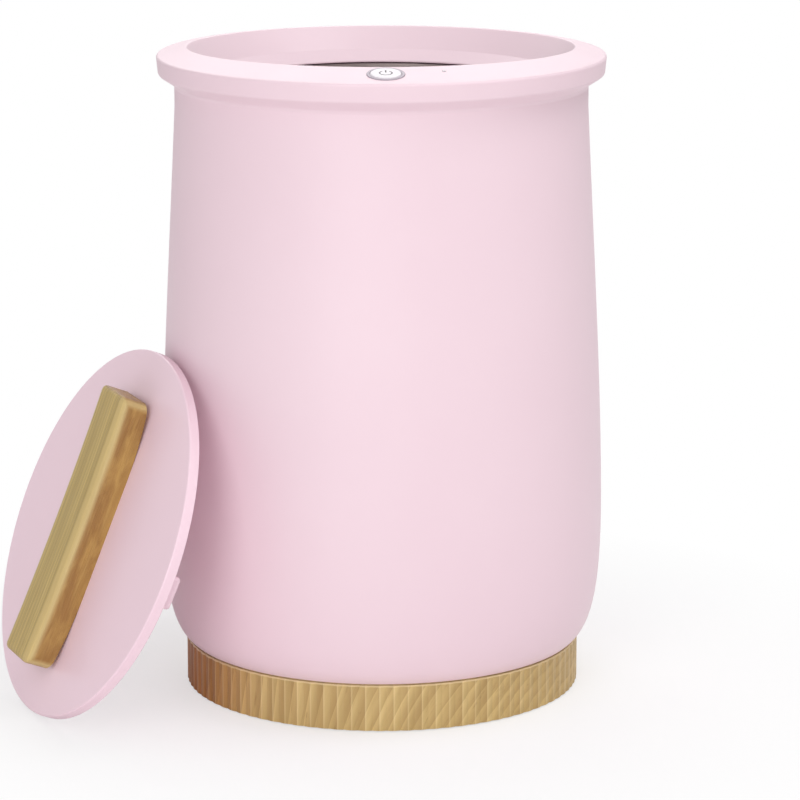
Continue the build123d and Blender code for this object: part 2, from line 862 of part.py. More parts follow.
def terminal_block():
    """Three screw terminals in a row, each with a wire's mouth at its side."""
    length, width, height = terminal_size
    block = Box(length, width, height, align=on_face)
    for step in (-1, 0, 1):
        y = terminal_pitch * step
        block -= Pos(0, y, 0) * rod(terminal_bore, height - terminal_bore_depth, height + 1)
        block -= Pos(length / 2, y, terminal_mouth_height) * Box(length, terminal_mouth, terminal_mouth)
    return supply_centre * Pos(*terminal_place) * block


# ---- mains inlet ----
def inlet_body():
    """Socket body in the shell's wall, its flange outside and a keyed recess for the plug."""
    body = Pos(0, -inlet_depth / 2, 0) * Box(inlet_width, inlet_depth, inlet_tall)
    body = fillet(body.edges().filter_by(Axis.Y), inlet_corner)
    flange_width = inlet_width + 2 * inlet_flange
    flange_tall = inlet_tall + 2 * inlet_flange
    flange = Box(flange_width, inlet_flange_thickness, flange_tall)
    flange = Pos(0, inlet_flange_thickness / 2, 0) * flange
    flange = fillet(flange.edges().filter_by(Axis.Y), inlet_flange)
    recess = Box(inlet_width - 2 * inlet_wall, 2 * inlet_recess, inlet_tall - 2 * inlet_wall)
    recess = Pos(0, inlet_flange_thickness, 0) * recess
    recess = chamfer(recess.edges().filter_by(Axis.Y).sort_by(Axis.Z)[-2:], inlet_key)
    inlet = inlet_centre * (body + flange - recess)
    for pin in inlet_pin_shapes():
        inlet -= pin
    return inlet


def inlet_pin_shapes():
    """Two blades side by side and the earth blade below them."""
    root = inlet_face + inlet_flange_thickness - inlet_recess
    blade = Box(pin_width, pin_length + inlet_wall, pin_height)
    spots = ((-pin_spacing / 2, pin_lift), (pin_spacing / 2, pin_lift), (0, -earth_drop))
    middle = root + pin_length / 2 - inlet_wall
    return [Pos(x, middle, inlet_height + z) * blade for x, z in spots]


# ---- wiring ----
lead_wall = well_setback - felt_inner - felt_thickness - cable_wall_gap
lead_rest = supply_top + cable_radius + seat_gap


def lead_landing():
    """How far forward a lead lies on the power board's front edge."""
    return well_setback - supply_width / 2 + 2


def lead(route):
    """Round sheathed lead along a route."""
    start = Plane(origin=route @ 0, z_dir=route % 0)
    return sweep(start * Circle(cable_radius), path=route)


def board_lead():
    """Lead from the control board's plug down the front of the felt to the power board."""
    plug_end = board_plane * Pos(plug_place, 0, -board_thickness - plug_height)
    x, y, z = plug_end.position
    landing = lead_landing()
    route = FilletPolyline(
        (x, y, z - seat_gap),
        (x, lead_wall, z - lead_slope),
        (x, lead_wall, plate_top + 3 * cable_bend),
        (x, landing - 1.5 * cable_bend, lead_rest + 0.8),
        (x, landing, lead_rest),
        radius=(cable_bend, cable_bend, cable_bend),
    )
    return lead(route)


def heater_lead():
    """Lead from the thermostat down the front of the felt to the power board."""
    y = well_setback - pot_outside - thermostat_depth - blade_length - 4
    landing = lead_landing()
    route = FilletPolyline(
        (-thermostat_radius, y + 3, thermostat_height - blade_width / 2),
        (-cable_side, y - 3, thermostat_height - lead_slope),
        (-cable_side, lead_wall + 2, felt_bottom + 1.5 * lead_slope),
        (-cable_side, lead_wall + 2, plate_top + 3 * cable_bend),
        (-cable_side, landing - 1.5 * cable_bend, lead_rest + 0.8),
        (-cable_side, landing, lead_rest),
        radius=(0.8 * cable_bend, cable_bend, cable_bend, cable_bend),
    )
    return lead(route)


def inlet_lead():
    """Lead from the back of the mains inlet under the pot to the terminal block."""
    back = inlet_face - inlet_depth
    edge = supply_width / 2 + well_setback
    x = terminal_place[0]
    route = FilletPolyline(
        (0, back - seat_gap, inlet_height),
        (0, back - 9, inlet_height),
        (8, edge + 50, inlet_height - 32),
        (24, edge + 20, supply_top + 12),
        (x, edge - 8, supply_top + 4),
        (x, edge - 15, supply_top + 4),
        radius=(14, 24, 20, 6),
    )
    return lead(route)


# ---- lid ----
def lid_cap():
    cap = rod(lid_radius, -lid_thickness, 0)
    rims = cap.edges().filter_by(GeomType.CIRCLE).sort_by(Axis.Z)
    cap = fillet(rims[-1], lid_edge_round)
    cap = fillet(cap.edges().filter_by(GeomType.CIRCLE).sort_by(Axis.Z)[0], lid_edge_round * 0.6)
    inner = lid_radius - wall
    cap -= rod(inner, -lid_thickness - 1, -lid_skin)
    for place in lid_screw_places():
        cap += place * rod(lid_post_radius, lid_cover_thickness - lid_thickness, -lid_skin)
    for place in lid_screw_places():
        cap -= place * rod(small_screw_radius, -lid_thickness, -lid_skin / 2)
    for place in handle_screw_places():
        cap -= place * rod(screw_radius + seat_gap, -lid_thickness, 1)
    return cap


def lid_screw_places():
    return [Rot(0, 0, lug_turn + 45 + 90 * step) * Pos(lid_screw_circle, 0, 0) for step in range(4)]


def handle_screw_places():
    turn = Rot(0, 0, handle_turn)
    return [turn * Pos(0, side * handle_screw_pitch / 2, 0) for side in (-1, 1)]


def locating_lug():
    """Short curved rib on the underside of the lid, centred on the +X side."""
    rib = tube(lug_outer, lug_outer - lug_width, -lid_thickness - lug_depth, -lid_thickness)
    half = math.radians(lug_span / 2)
    reach = 2 * lid_radius
    sector = make_face(Polyline(
        (0, 0), (reach * math.cos(half), -reach * math.sin(half)),
        (reach * math.cos(half), reach * math.sin(half)), (0, 0),
    ))
    rib &= Pos(0, 0, -2 * lid_thickness - lug_depth) * extrude(sector, 4 * lid_thickness)
    rib = fillet(rib.edges().filter_by(Axis.Z), lug_corner)
    return fillet(rib.faces().sort_by(Axis.Z)[0].edges(), lug_round)


def lid_cover():
    cover = rod(lid_radius - wall - seat_gap, -lid_thickness, lid_cover_thickness - lid_thickness)
    for step in range(4):
        cover += Rot(0, 0, lug_turn + 90 * step) * locating_lug()
    cover -= rod(cover_dish_radius, -lid_thickness - 1, -lid_thickness + cover_dish_depth)
    for place in lid_screw_places():
        cover -= place * rod(small_screw_radius + seat_gap, -2 * lid_thickness, 0)
    return cover


def lid_foam():
    bottom = lid_cover_thickness - lid_thickness + seat_gap
    foam = rod(lid_radius - wall - foam_gap, bottom, -lid_skin - seat_gap)
    for place in lid_screw_places():
        foam -= place * rod(lid_post_radius + foam_gap / 4, -lid_thickness, 0)
    for place in handle_screw_places():
        foam -= place * rod(screw_head_radius + foam_gap, -lid_thickness, 0)
    return foam


def lid_screws():
    reach = lid_thickness - lid_skin * 0.7
    one = screw(small_screw_radius, small_head_radius, small_head_height, reach)
    return [place * Pos(0, 0, -lid_thickness) * one for place in lid_screw_places()]


def handle_screws():
    one = screw(screw_radius, screw_head_radius, screw_head_height, lid_skin + handle_screw_bite)
    return [place * Pos(0, 0, -lid_skin) * one for place in handle_screw_places()]


def lid_handle():
    """Wooden bar, seated on its middle, its ends lifted and its top dished along its length."""
    half = handle_length / 2
    crown = handle_height + handle_dish
    side = (
        Line((-handle_flat / 2, 0), (handle_flat / 2, 0))
        + ThreePointArc(
            (handle_flat / 2, 0),
            ((half + handle_flat / 2) / 2, handle_end_lift / 4),
            (half, handle_end_lift),
        )
        + Line((half, handle_end_lift), (half, crown))
        + ThreePointArc((half, crown), (0, handle_height), (-half, crown))
        + Line((-half, crown), (-half, handle_end_lift))
        + ThreePointArc(
            (-half, handle_end_lift),
            (-(half + handle_flat / 2) / 2, handle_end_lift / 4),
            (-handle_flat / 2, 0),
        )
    )
    upright = Plane(origin=(0, 0, 0), x_dir=(0, 1, 0), z_dir=(1, 0, 0))
    bar = extrude(upright * make_face(side), handle_width / 2, both=True)
    bar = fillet(bar.edges().filter_by(Axis.Z), handle_corner)
    top = bar.faces().sort_by(Axis.Z)[-1]
    bar = fillet(top.edges(), handle_edge)
    bar = Rot(0, 0, handle_turn) * bar
    for place in handle_screw_places():
        bar -= place * rod(screw_radius, -1, handle_screw_bite + 1)
    return bar


def lid_frame(reach):
    """Plane of the lid's face: its lower edge on the floor, its centre so far from the axis."""
    lean = math.radians(lid_lean)
    facing = math.radians(lid_facing)
    height = move_gap + lid_radius * math.cos(lean) + lid_thickness * math.sin(lean)
    across = (-math.sin(facing), math.cos(facing))
    centre = (
        reach * math.cos(facing) + lid_offset * across[0],
        reach * math.sin(facing) + lid_offset * across[1],
        height,
    )
    normal = (
        math.cos(lean) * math.cos(facing),
        math.cos(lean) * math.sin(facing),
        math.sin(lean),
    )
    return Plane(origin=centre, x_dir=(-across[0], -across[1], 0), z_dir=normal)


def leaning_frame(shell):
    """Lid's plane once it is slid in towards the bucket until a lug is a hair off the shell."""
    lugs = [Rot(0, 0, lug_turn + 90 * step) * locating_lug() for step in range(4)]
    reach = 2 * belly_radius
    for _ in range(5):
        plane = lid_frame(reach)
        gap = min((plane * lug).distance_to(shell) for lug in lugs)
        reach -= gap - move_gap
    return lid_frame(reach)


# ---- write every piece to its own file ----
def save(name, shape):
    solids = shape if isinstance(shape, list) else [shape]
    pieces = [piece for item in solids for piece in item.solids()]
    export_step(Compound(children=pieces) if len(pieces) > 1 else pieces[0], f"parts/{name}.step")


def main():
    os.makedirs("parts", exist_ok=True)
    shell = outer_shell()
    save("outer_shell", shell)
    save("top_collar", top_collar())
    save("collar_screws", collar_screws())
    save("inner_pot", inner_pot())
    save("pot_gasket", pot_gasket())
    save("pot_screws", pot_screws())
    save("heating_film", heating_film())
    save("felt_wrap", felt_wrap())
    save("clamp_straps", [clamp_strap(height) for height in strap_heights()])
    save("bottom_heater", bottom_heater())
    save("pot_cradle", pot_cradle())
    save("thermostat", thermostat())
    save("thermal_fuse", thermal_fuse())
    save("button_bezel", button_bezel())
    save("power_button", power_button())
    save("button_symbol", button_symbol())
    save("switch_plunger", switch_plunger())
    save("tact_switch", tact_switch())
    save("indicator_lens", indicator_lens())
    save("status_led", status_led())
    save("control_board", control_board())
    save("board_chip", board_chip())
    save("board_plug", board_plug())
    save("board_screws", board_screws())
    save("base_ring", base_ring())
    save("base_plate", base_plate())
    save("base_screws", base_screws_group())
    save("feet", feet())
    save("power_board", power_board())
    save("power_board_screws", power_board_screws())
    save("relay", relay())
    save("smoothing_capacitor", smoothing_capacitor())
    save("transformer", transformer())
    save("terminal_block", terminal_block())
    save("mains_inlet", inlet_body())
    save("inlet_pins", inlet_pin_shapes())
    save("board_lead", board_lead())
    save("heater_lead", heater_lead())
    save("inlet_lead", inlet_lead())
    lid = leaning_frame(shell)
    print("lid centre", lid.origin, "normal", lid.z_dir)
    save("lid_cap", lid * lid_cap())
    save("lid_cover", lid * lid_cover())
    save("lid_foam", lid * lid_foam())
    save("lid_screws", [lid * item for item in lid_screws()])
    save("lid_handle", lid * lid_handle())
    save("handle_screws", [lid * item for item in handle_screws()])


main()
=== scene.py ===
import json
import math

import bpy
from mathutils import Matrix, Vector


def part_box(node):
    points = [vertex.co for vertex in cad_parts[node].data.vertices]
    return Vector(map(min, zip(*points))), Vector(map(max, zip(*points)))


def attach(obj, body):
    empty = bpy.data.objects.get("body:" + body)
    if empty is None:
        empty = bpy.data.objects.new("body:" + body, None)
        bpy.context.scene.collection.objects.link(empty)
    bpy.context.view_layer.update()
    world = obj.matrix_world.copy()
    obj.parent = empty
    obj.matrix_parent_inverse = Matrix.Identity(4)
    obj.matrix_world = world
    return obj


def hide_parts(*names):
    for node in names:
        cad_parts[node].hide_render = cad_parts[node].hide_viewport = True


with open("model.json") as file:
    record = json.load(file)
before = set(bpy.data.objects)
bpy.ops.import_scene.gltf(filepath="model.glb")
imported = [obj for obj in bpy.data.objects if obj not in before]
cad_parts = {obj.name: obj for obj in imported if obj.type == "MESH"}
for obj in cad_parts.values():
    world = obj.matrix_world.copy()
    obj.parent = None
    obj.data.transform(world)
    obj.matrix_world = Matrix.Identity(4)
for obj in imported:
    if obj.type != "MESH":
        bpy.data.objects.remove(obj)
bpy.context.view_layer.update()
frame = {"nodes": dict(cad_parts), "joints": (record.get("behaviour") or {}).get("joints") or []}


# ---- Floor, light and camera ----
# The bucket stands on a plain white floor in an evenly lit white room. Large soft lamps hang over
# its front and right, stand to its left and right and low before it, and one lies behind.
def new_material(name, roughness, metallic=0.0):
    """New node material, given back with its node tree and its Principled shader."""
    material = bpy.data.materials.new(name)
    material.use_nodes = True
    tree = material.node_tree
    shader = tree.nodes["Principled BSDF"]
    shader.inputs["Roughness"].default_value = roughness
    shader.inputs["Metallic"].default_value = metallic
    return material, tree, shader


def own_place(tree):
    """Coordinates of a point on the piece that the material covers."""
    return tree.nodes.new("ShaderNodeTexCoord").outputs["Object"]


def reckon(tree, operation, *values):
    """Result of one sum: each value is a socket or a number."""
    step = tree.nodes.new("ShaderNodeMath")
    step.operation = operation
    for socket, value in zip(step.inputs, values):
        if isinstance(value, bpy.types.NodeSocket):
            tree.links.new(value, socket)
        else:
            socket.default_value = value
    return step.outputs["Value"]


def spread(tree, value, from_low, from_high, to_low, to_high):
    """Value stretched from one range to another and kept inside it."""
    stretch = tree.nodes.new("ShaderNodeMapRange")
    stretch.inputs["From Min"].default_value = from_low
    stretch.inputs["From Max"].default_value = from_high
    stretch.inputs["To Min"].default_value = to_low
    stretch.inputs["To Max"].default_value = to_high
    tree.links.new(value, stretch.inputs["Value"])
    return stretch.outputs["Result"]


def soft_lamp(name, place, aim, width, depth, watts):
    """Rectangular soft lamp at a place, turned to face its aim."""
    lamp = bpy.data.lights.new(name, "AREA")
    lamp.shape = "RECTANGLE"
    lamp.size = width
    lamp.size_y = depth
    lamp.energy = watts
    holder = bpy.data.objects.new(name, lamp)
    bpy.context.collection.objects.link(holder)
    direction = Vector(aim) - Vector(place)
    holder.location = place
    holder.rotation_euler = direction.to_track_quat("-Z", "Y").to_euler()


bpy.context.scene.view_settings.view_transform = "Standard"

# The floor is matt white. Away from the bucket it is seen as plain white, and close to it the
# shadows stay.
floor_material, floor_tree, floor_shader = new_material("white_floor", 0.9)
floor_shader.inputs["Base Color"].default_value = (0.93, 0.93, 0.93, 1.0)
floor_shader.inputs["Specular IOR Level"].default_value = 0.1
shadow_reach, white_reach = 0.20, 0.42
least_white = 0.55
floor_distance = floor_tree.nodes.new("ShaderNodeVectorMath")
floor_distance.operation = "LENGTH"
floor_tree.links.new(own_place(floor_tree), floor_distance.inputs[0])
whiteness = spread(
    floor_tree, floor_distance.outputs["Value"], shadow_reach, white_reach, least_white, 1.0
)
floor_light = floor_tree.nodes.new("ShaderNodeLightPath")
floor_seen = reckon(floor_tree, "MULTIPLY", floor_light.outputs["Is Camera Ray"], whiteness)
floor_white = floor_tree.nodes.new("ShaderNodeEmission")
floor_white.inputs["Color"].default_value = (1.0, 1.0, 1.0, 1.0)
floor_white.inputs["Strength"].default_value = 1.0
floor_mix = floor_tree.nodes.new("ShaderNodeMixShader")
floor_tree.links.new(floor_seen, floor_mix.inputs["Fac"])
floor_tree.links.new(floor_shader.outputs["BSDF"], floor_mix.inputs[1])
floor_tree.links.new(floor_white.outputs["Emission"], floor_mix.inputs[2])
floor_tree.links.new(floor_mix.outputs["Shader"], floor_tree.nodes["Material Output"].inputs["Surface"])
floor_width = 14.0
bpy.ops.mesh.primitive_plane_add(size=floor_width, location=(0, 0, 0))
floor = bpy.context.object
floor.name = "floor"
floor.data.materials.append(floor_material)

# The room is white where the camera sees it, straight or in a polished face, and gives the bucket
# an even, faintly pink light.
world = bpy.data.worlds.new("studio")
bpy.context.scene.world = world
world.use_nodes = True
world_tree = world.node_tree
backdrop = world_tree.nodes["Background"]
fill = world_tree.nodes.new("ShaderNodeBackground")
fill.inputs["Color"].default_value = (1.0, 0.97, 0.985, 1.0)
fill.inputs["Strength"].default_value = 0.42
backdrop.inputs["Color"].default_value = (1.0, 1.0, 1.0, 1.0)
backdrop.inputs["Strength"].default_value = 1.0
seen = world_tree.nodes.new("ShaderNodeLightPath")
seen_white = seen.outputs["Is Camera Ray"]
for kind in ("Is Glossy Ray", "Is Transmission Ray"):
    seen_white = reckon(world_tree, "MAXIMUM", seen_white, seen.outputs[kind])
seen_or_fill = world_tree.nodes.new("ShaderNodeMixShader")
world_tree.links.new(seen_white, seen_or_fill.inputs["Fac"])
world_tree.links.new(fill.outputs["Background"], seen_or_fill.inputs[1])
world_tree.links.new(backdrop.outputs["Background"], seen_or_fill.inputs[2])
world_tree.links.new(seen_or_fill.outputs["Shader"], world_tree.nodes["World Output"].inputs["Surface"])

soft_lamp("over_front", (0.35, -1.9, 2.4), (0, 0, 0.2), 2.6, 1.8, 13)
soft_lamp("left_front", (-1.1, -2.6, 1.1), (0, 0, 0.2), 1.2, 1.6, 20)
soft_lamp("low_front", (-0.35, -2.8, 0.45), (0, 0, 0.15), 1.8, 0.8, 8)
soft_lamp("right_side", (2.4, -1.2, 1.3), (0, 0, 0.2), 1.8, 2.2, 5)
soft_lamp("over_right", (1.1, -0.2, 2.6), (0, 0, 0.3), 1.3, 1.3, 22)
soft_lamp("behind", (-0.4, 2.2, 1.8), (0, 0, 0.3), 2.2, 1.4, 16)

camera_data = bpy.data.cameras.new("camera")
camera_data.sensor_width = 36.0
camera_data.lens = 170.3
camera = bpy.data.objects.new("camera", camera_data)
camera.location = (-0.0533, -2.5075, 0.763)
camera.rotation_euler = (math.radians(77.2), 0.0, math.radians(-1.5))
bpy.context.collection.objects.link(camera)
bpy.context.scene.camera = camera


# ---- Outer shell ----
# One deep moulding in pink plastic, bellied low down and drawn in at foot and neck, with a satin
# skin and a flat pad at the back for the mains inlet. The collar plugs into its top, and the
# wooden ring is screwed under its foot.
def node_group(name, inputs, outputs):
    """Empty node group with named sockets, given back with its input and output nodes."""
    group = bpy.data.node_groups.new(name, "ShaderNodeTree")
    for label, kind, value in inputs:
        socket = group.interface.new_socket(name=label, in_out="INPUT", socket_type=kind)
        if value is not None:
            socket.default_value = value
    for label, kind in outputs:
        group.interface.new_socket(name=label, in_out="OUTPUT", socket_type=kind)
    return group, group.nodes.new("NodeGroupInput"), group.nodes.new("NodeGroupOutput")


def noise(tree, place, scale, detail, roughness=0.5, distortion=0.0):
    """Noise texture on a socket of coordinates."""
    texture = tree.nodes.new("ShaderNodeTexNoise")
    texture.inputs["Scale"].default_value = scale
    texture.inputs["Detail"].default_value = detail
    texture.inputs["Roughness"].default_value = roughness
    texture.inputs["Distortion"].default_value = distortion
    tree.links.new(place, texture.inputs["Vector"])
    return texture.outputs["Fac"]


def blend_colours(tree, amount, first, second, mode="MIX"):
    """Colour between two others: each is a socket or a fixed colour."""
    mix = tree.nodes.new("ShaderNodeMix")
    mix.data_type = "RGBA"
    mix.blend_type = mode
    for socket, colour in ((mix.inputs[6], first), (mix.inputs[7], second)):
        if isinstance(colour, bpy.types.NodeSocket):
            tree.links.new(colour, socket)
        else:
            socket.default_value = (*colour, 1.0)
    if isinstance(amount, bpy.types.NodeSocket):
        tree.links.new(amount, mix.inputs[0])
    else:
        mix.inputs[0].default_value = amount
    return mix.outputs[2]


def relief(tree, height, distance):
    """Normal of a surface raised by a height."""
    bump = tree.nodes.new("ShaderNodeBump")
    bump.inputs["Strength"].default_value = 1.0
    bump.inputs["Distance"].default_value = distance
    tree.links.new(height, bump.inputs["Height"])
    return bump.outputs["Normal"]


# Moulded plastic: a faint cloudiness in the colour, a fine eggshell grain and handling marks.
moulded_skin, skin_in, skin_out = node_group(
    "moulded_skin",
    (("Place", "NodeSocketVector", None), ("Pale", "NodeSocketColor", (0.9, 0.7, 0.75, 1)),
     ("Deep", "NodeSocketColor", (0.8, 0.6, 0.65, 1)), ("Sheen low", "NodeSocketFloat", 0.3),
     ("Sheen high", "NodeSocketFloat", 0.4)),
    (("Color", "NodeSocketColor"), ("Roughness", "NodeSocketFloat"), ("Normal", "NodeSocketVector")),
)
clouds = noise(moulded_skin, skin_in.outputs["Place"], 5.0, 3.0)
smears = noise(moulded_skin, skin_in.outputs["Place"], 23.0, 5.0, 0.6)
eggshell = noise(moulded_skin, skin_in.outputs["Place"], 900.0, 2.0)
waves = noise(moulded_skin, skin_in.outputs["Place"], 60.0, 1.0)
skin_colour = blend_colours(
    moulded_skin, spread(moulded_skin, clouds, 0.35, 0.65, 0.0, 1.0),
    skin_in.outputs["Pale"], skin_in.outputs["Deep"],
)
sheen = moulded_skin.nodes.new("ShaderNodeMapRange")
moulded_skin.links.new(smears, sheen.inputs["Value"])
moulded_skin.links.new(skin_in.outputs["Sheen low"], sheen.inputs["To Min"])
moulded_skin.links.new(skin_in.outputs["Sheen high"], sheen.inputs["To Max"])
eggshell_share = 0.25
grain_height = reckon(moulded_skin, "MULTIPLY_ADD", eggshell, eggshell_share, waves)
moulded_skin.links.new(skin_colour, skin_out.inputs["Color"])
moulded_skin.links.new(sheen.outputs["Result"], skin_out.inputs["Roughness"])
moulded_skin.links.new(relief(moulded_skin, grain_height, 0.00012), skin_out.inputs["Normal"])


def plastic(name, pale, deep, sheen_low, sheen_high, coat=0.0):
    """Material of moulded plastic in two close shades."""
    material, tree, shader = new_material(name, sheen_low)
    skin = tree.nodes.new("ShaderNodeGroup")
    skin.node_tree = moulded_skin
    skin.inputs["Pale"].default_value = (*pale, 1.0)
    skin.inputs["Deep"].default_value = (*deep, 1.0)
    skin.inputs["Sheen low"].default_value = sheen_low
    skin.inputs["Sheen high"].default_value = sheen_high
    tree.links.new(own_place(tree), skin.inputs["Place"])
    tree.links.new(skin.outputs["Color"], shader.inputs["Base Color"])
    tree.links.new(skin.outputs["Roughness"], shader.inputs["Roughness"])
    tree.links.new(skin.outputs["Normal"], shader.inputs["Normal"])
    shader.inputs["Coat Weight"].default_value = coat
    shader.inputs["Coat Roughness"].default_value = 0.2
    return material


def start_ring(name, sides, radius, centre):
    """New object holding one level ring, left in edit mode with the ring selected."""
    bpy.ops.object.select_all(action="DESELECT")
    bpy.ops.mesh.primitive_circle_add(vertices=sides, radius=radius, location=centre)
    bpy.ops.object.transform_apply(location=True, rotation=True, scale=True)
    piece = bpy.context.object
    piece.name = name
    piece.data.name = name
    bpy.ops.object.mode_set(mode="EDIT")
    bpy.ops.mesh.select_all(action="SELECT")
    return piece


def raise_ring(centre, new_centre, growth, lean=0.0):
    """Extrude the selected ring to a new centre, then widen it and lean it back there."""
    step = Vector(new_centre) - Vector(centre)
    bpy.ops.mesh.extrude_region_move(TRANSFORM_OT_translate={"value": step})
    bpy.ops.transform.resize(value=(growth, growth, growth), center_override=new_centre)
    if lean:
        bpy.ops.transform.rotate(value=lean, orient_axis="X", center_override=new_centre)


def turn_rings(name, sides, rings):
    """Object made of rings drawn up from one another: each is a radius and a height."""
    radius, height = rings[0]
    piece = start_ring(name, sides, radius, (0, 0, height))
    for next_radius, next_height in rings[1:]:
        raise_ring((0, 0, height), (0, 0, next_height), next_radius / radius)
        radius, height = next_radius, next_height
    return piece


def weld():
    """Join the corners that meet on the piece in hand and turn its faces outwards."""
    bpy.ops.object.mode_set(mode="EDIT")
    bpy.ops.mesh.select_all(action="SELECT")
    bpy.ops.mesh.remove_doubles(threshold=0.00001)
    bpy.ops.mesh.normals_make_consistent(inside=False)
    bpy.ops.object.mode_set(mode="OBJECT")


def finish_mesh(piece, material, body, replaced=(), sharp=math.radians(35)):
    """Weld the piece in hand, smooth its faces, give it its material and hand it to the frame."""
    weld()
    bpy.ops.object.shade_smooth_by_angle(angle=sharp)
    piece.data.materials.clear()
    piece.data.materials.append(material)
    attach(piece, body)
    if replaced:
        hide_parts(*replaced)


def on_curve(corners, share):
    """Point at a share of the way along the smooth curve that four corners pull on."""
    near = (1 - share) ** 3, 3 * share * (1 - share) ** 2
    far = 3 * share**2 * (1 - share), share**3
    return tuple(
        near[0] * a + near[1] * b + far[0] * c + far[1] * d for a, b, c, d in zip(*corners)
    )


foot_radius, foot_height = 0.133, 0.0325
belly_radius, belly_height = 0.1496, 0.118
neck_radius, neck_height = 0.138, 0.396
shell_top, shell_wall, lip_radius = 0.409, 0.0026, 0.116
shell_sides, tuck_steps, rise_steps = 160, 14, 18
tuck = ((foot_radius, foot_height), (0.1426, 0.0397), (belly_radius, 0.060), (belly_radius, belly_height))
rise = ((belly_radius, belly_height), (belly_radius, 0.193), (0.14232, 0.306), (neck_radius, neck_height))
shell_outline = [on_curve(tuck, step / tuck_steps) for step in range(tuck_steps)]
shell_outline += [on_curve(rise, step / rise_steps) for step in range(rise_steps + 1)]
outside = list(shell_outline)
shell_outline += [(neck_radius, shell_top), (neck_radius - shell_wall, shell_top)]
shell_outline += [(radius - shell_wall, height) for radius, height in reversed(outside[1:])]
shell_floor = foot_height + shell_wall
shell_outline += [(foot_radius - shell_wall, shell_floor), (lip_radius, shell_floor)]
shell_outline += [(lip_radius, foot_height), (foot_radius, foot_height)]
outer_shell = turn_rings("outer_shell_skin", shell_sides, shell_outline)
weld()


def hold(piece):
    """Take one piece in hand: nothing else is selected."""
    bpy.ops.object.select_all(action="DESELECT")
    piece.select_set(True)
    bpy.context.view_layer.objects.active = piece


def rounded_block(name, size, centre, corner):
    """Block with its four edges along Y rounded."""
    bpy.ops.object.select_all(action="DESELECT")
    bpy.ops.mesh.primitive_cube_add(size=1.0, location=centre)
    block = bpy.context.object
    block.name = name
    block.scale = size
    bpy.ops.object.transform_apply(location=True, rotation=True, scale=True)
    for edge in block.data.edges:
        first, second = (block.data.vertices[index].co for index in edge.vertices)
        edge.select = abs(first.y - second.y) > size[1] / 2
    bpy.ops.object.mode_set(mode="EDIT")
    bpy.ops.mesh.select_mode(type="EDGE")
    if corner:
        bpy.ops.mesh.bevel(offset=corner, segments=5, affect="EDGES")
    bpy.ops.mesh.select_mode(type="VERT")
    bpy.ops.object.mode_set(mode="OBJECT")
    return block


def combine(piece, tool, operation):
    """Join a tool to a piece, or cut the piece with it, and take the tool away."""
    hold(piece)
    joining = piece.modifiers.new("combine", "BOOLEAN")
    joining.object = tool
    joining.operation = operation
    joining.solver = "EXACT"
    bpy.ops.object.modifier_apply(modifier=joining.name)
    hold(tool)
    bpy.ops.object.delete()
    hold(piece)


# Low at the back a flat pad stands through the curved wall, and the mains inlet passes through it.
inlet_face, inlet_height = 0.150, 0.078
pad_width, pad_depth, pad_tall, pad_corner = 0.034, 0.0108, 0.028, 0.004
way_width, way_depth, way_tall = 0.0262, 0.060, 0.0202
pad_centre = (0, inlet_face - pad_depth / 2, inlet_height)
inlet_pad = rounded_block("inlet_pad", (pad_width, pad_depth, pad_tall), pad_centre, pad_corner)
combine(outer_shell, inlet_pad, "UNION")
way_centre = (0, inlet_face, inlet_height)
inlet_way = rounded_block("inlet_way", (way_width, way_depth, way_tall), way_centre, 0.0)
combine(outer_shell, inlet_way, "DIFFERENCE")

pink_skin = plastic("pink_satin_plastic", (0.845, 0.66, 0.722), (0.825, 0.635, 0.70), 0.38, 0.46)
finish_mesh(outer_shell, pink_skin, "bucket", ("outer_shell",))


# ---- Top collar ----
# A second pink moulding: a flared band round the rim, a panel that slopes up to a leaning crest,
# and inside it a funnel, a ledge and a short throat. It plugs into the shell and holds the pot.
def choose_rings(piece, sides, rings):
    """Select the corners of some rings of a piece and nothing else, ready for editing."""
    bpy.ops.object.mode_set(mode="OBJECT")
    mesh = piece.data
    mesh.polygons.foreach_set("select", [False] * len(mesh.polygons))
    mesh.edges.foreach_set("select", [False] * len(mesh.edges))
    mesh.vertices.foreach_set("select", [False] * len(mesh.vertices))
    for ring in rings:
        for index in range(ring * sides, (ring + 1) * sides):
            mesh.vertices[index].select = True
    bpy.ops.object.mode_set(mode="EDIT")


def bevel_ring(piece, sides, ring, width, segments=4):
    """Round the edge that one ring of a piece makes. Later rings are rounded first."""
    choose_rings(piece, sides, (ring,))
    bpy.ops.mesh.bevel(offset=width, segments=segments, affect="EDGES", clamp_overlap=True)


def close_rings(piece, sides, last):
    """Join the last ring of a piece to its first."""
    choose_rings(piece, sides, (0, last))
    bpy.ops.mesh.bridge_edge_loops()


def even_shading(piece):
    """Give broad faces the say in the shading beside narrow rounded edges."""
    hold(piece)
    weighted = piece.modifiers.new("even_shading", "WEIGHTED_NORMAL")
    weighted.keep_sharp = True
    bpy.ops.object.modifier_apply(modifier=weighted.name)


def drill(radius, depth, place, along):
    """Round cutter centred on a place and running along a direction."""
    bpy.ops.object.select_all(action="DESELECT")
    bpy.ops.mesh.primitive_cylinder_add(vertices=64, radius=radius, depth=depth, location=place)
    cutter = bpy.context.object
    cutter.rotation_euler = Vector(along).to_track_quat("Z", "Y").to_euler()
    return cutter


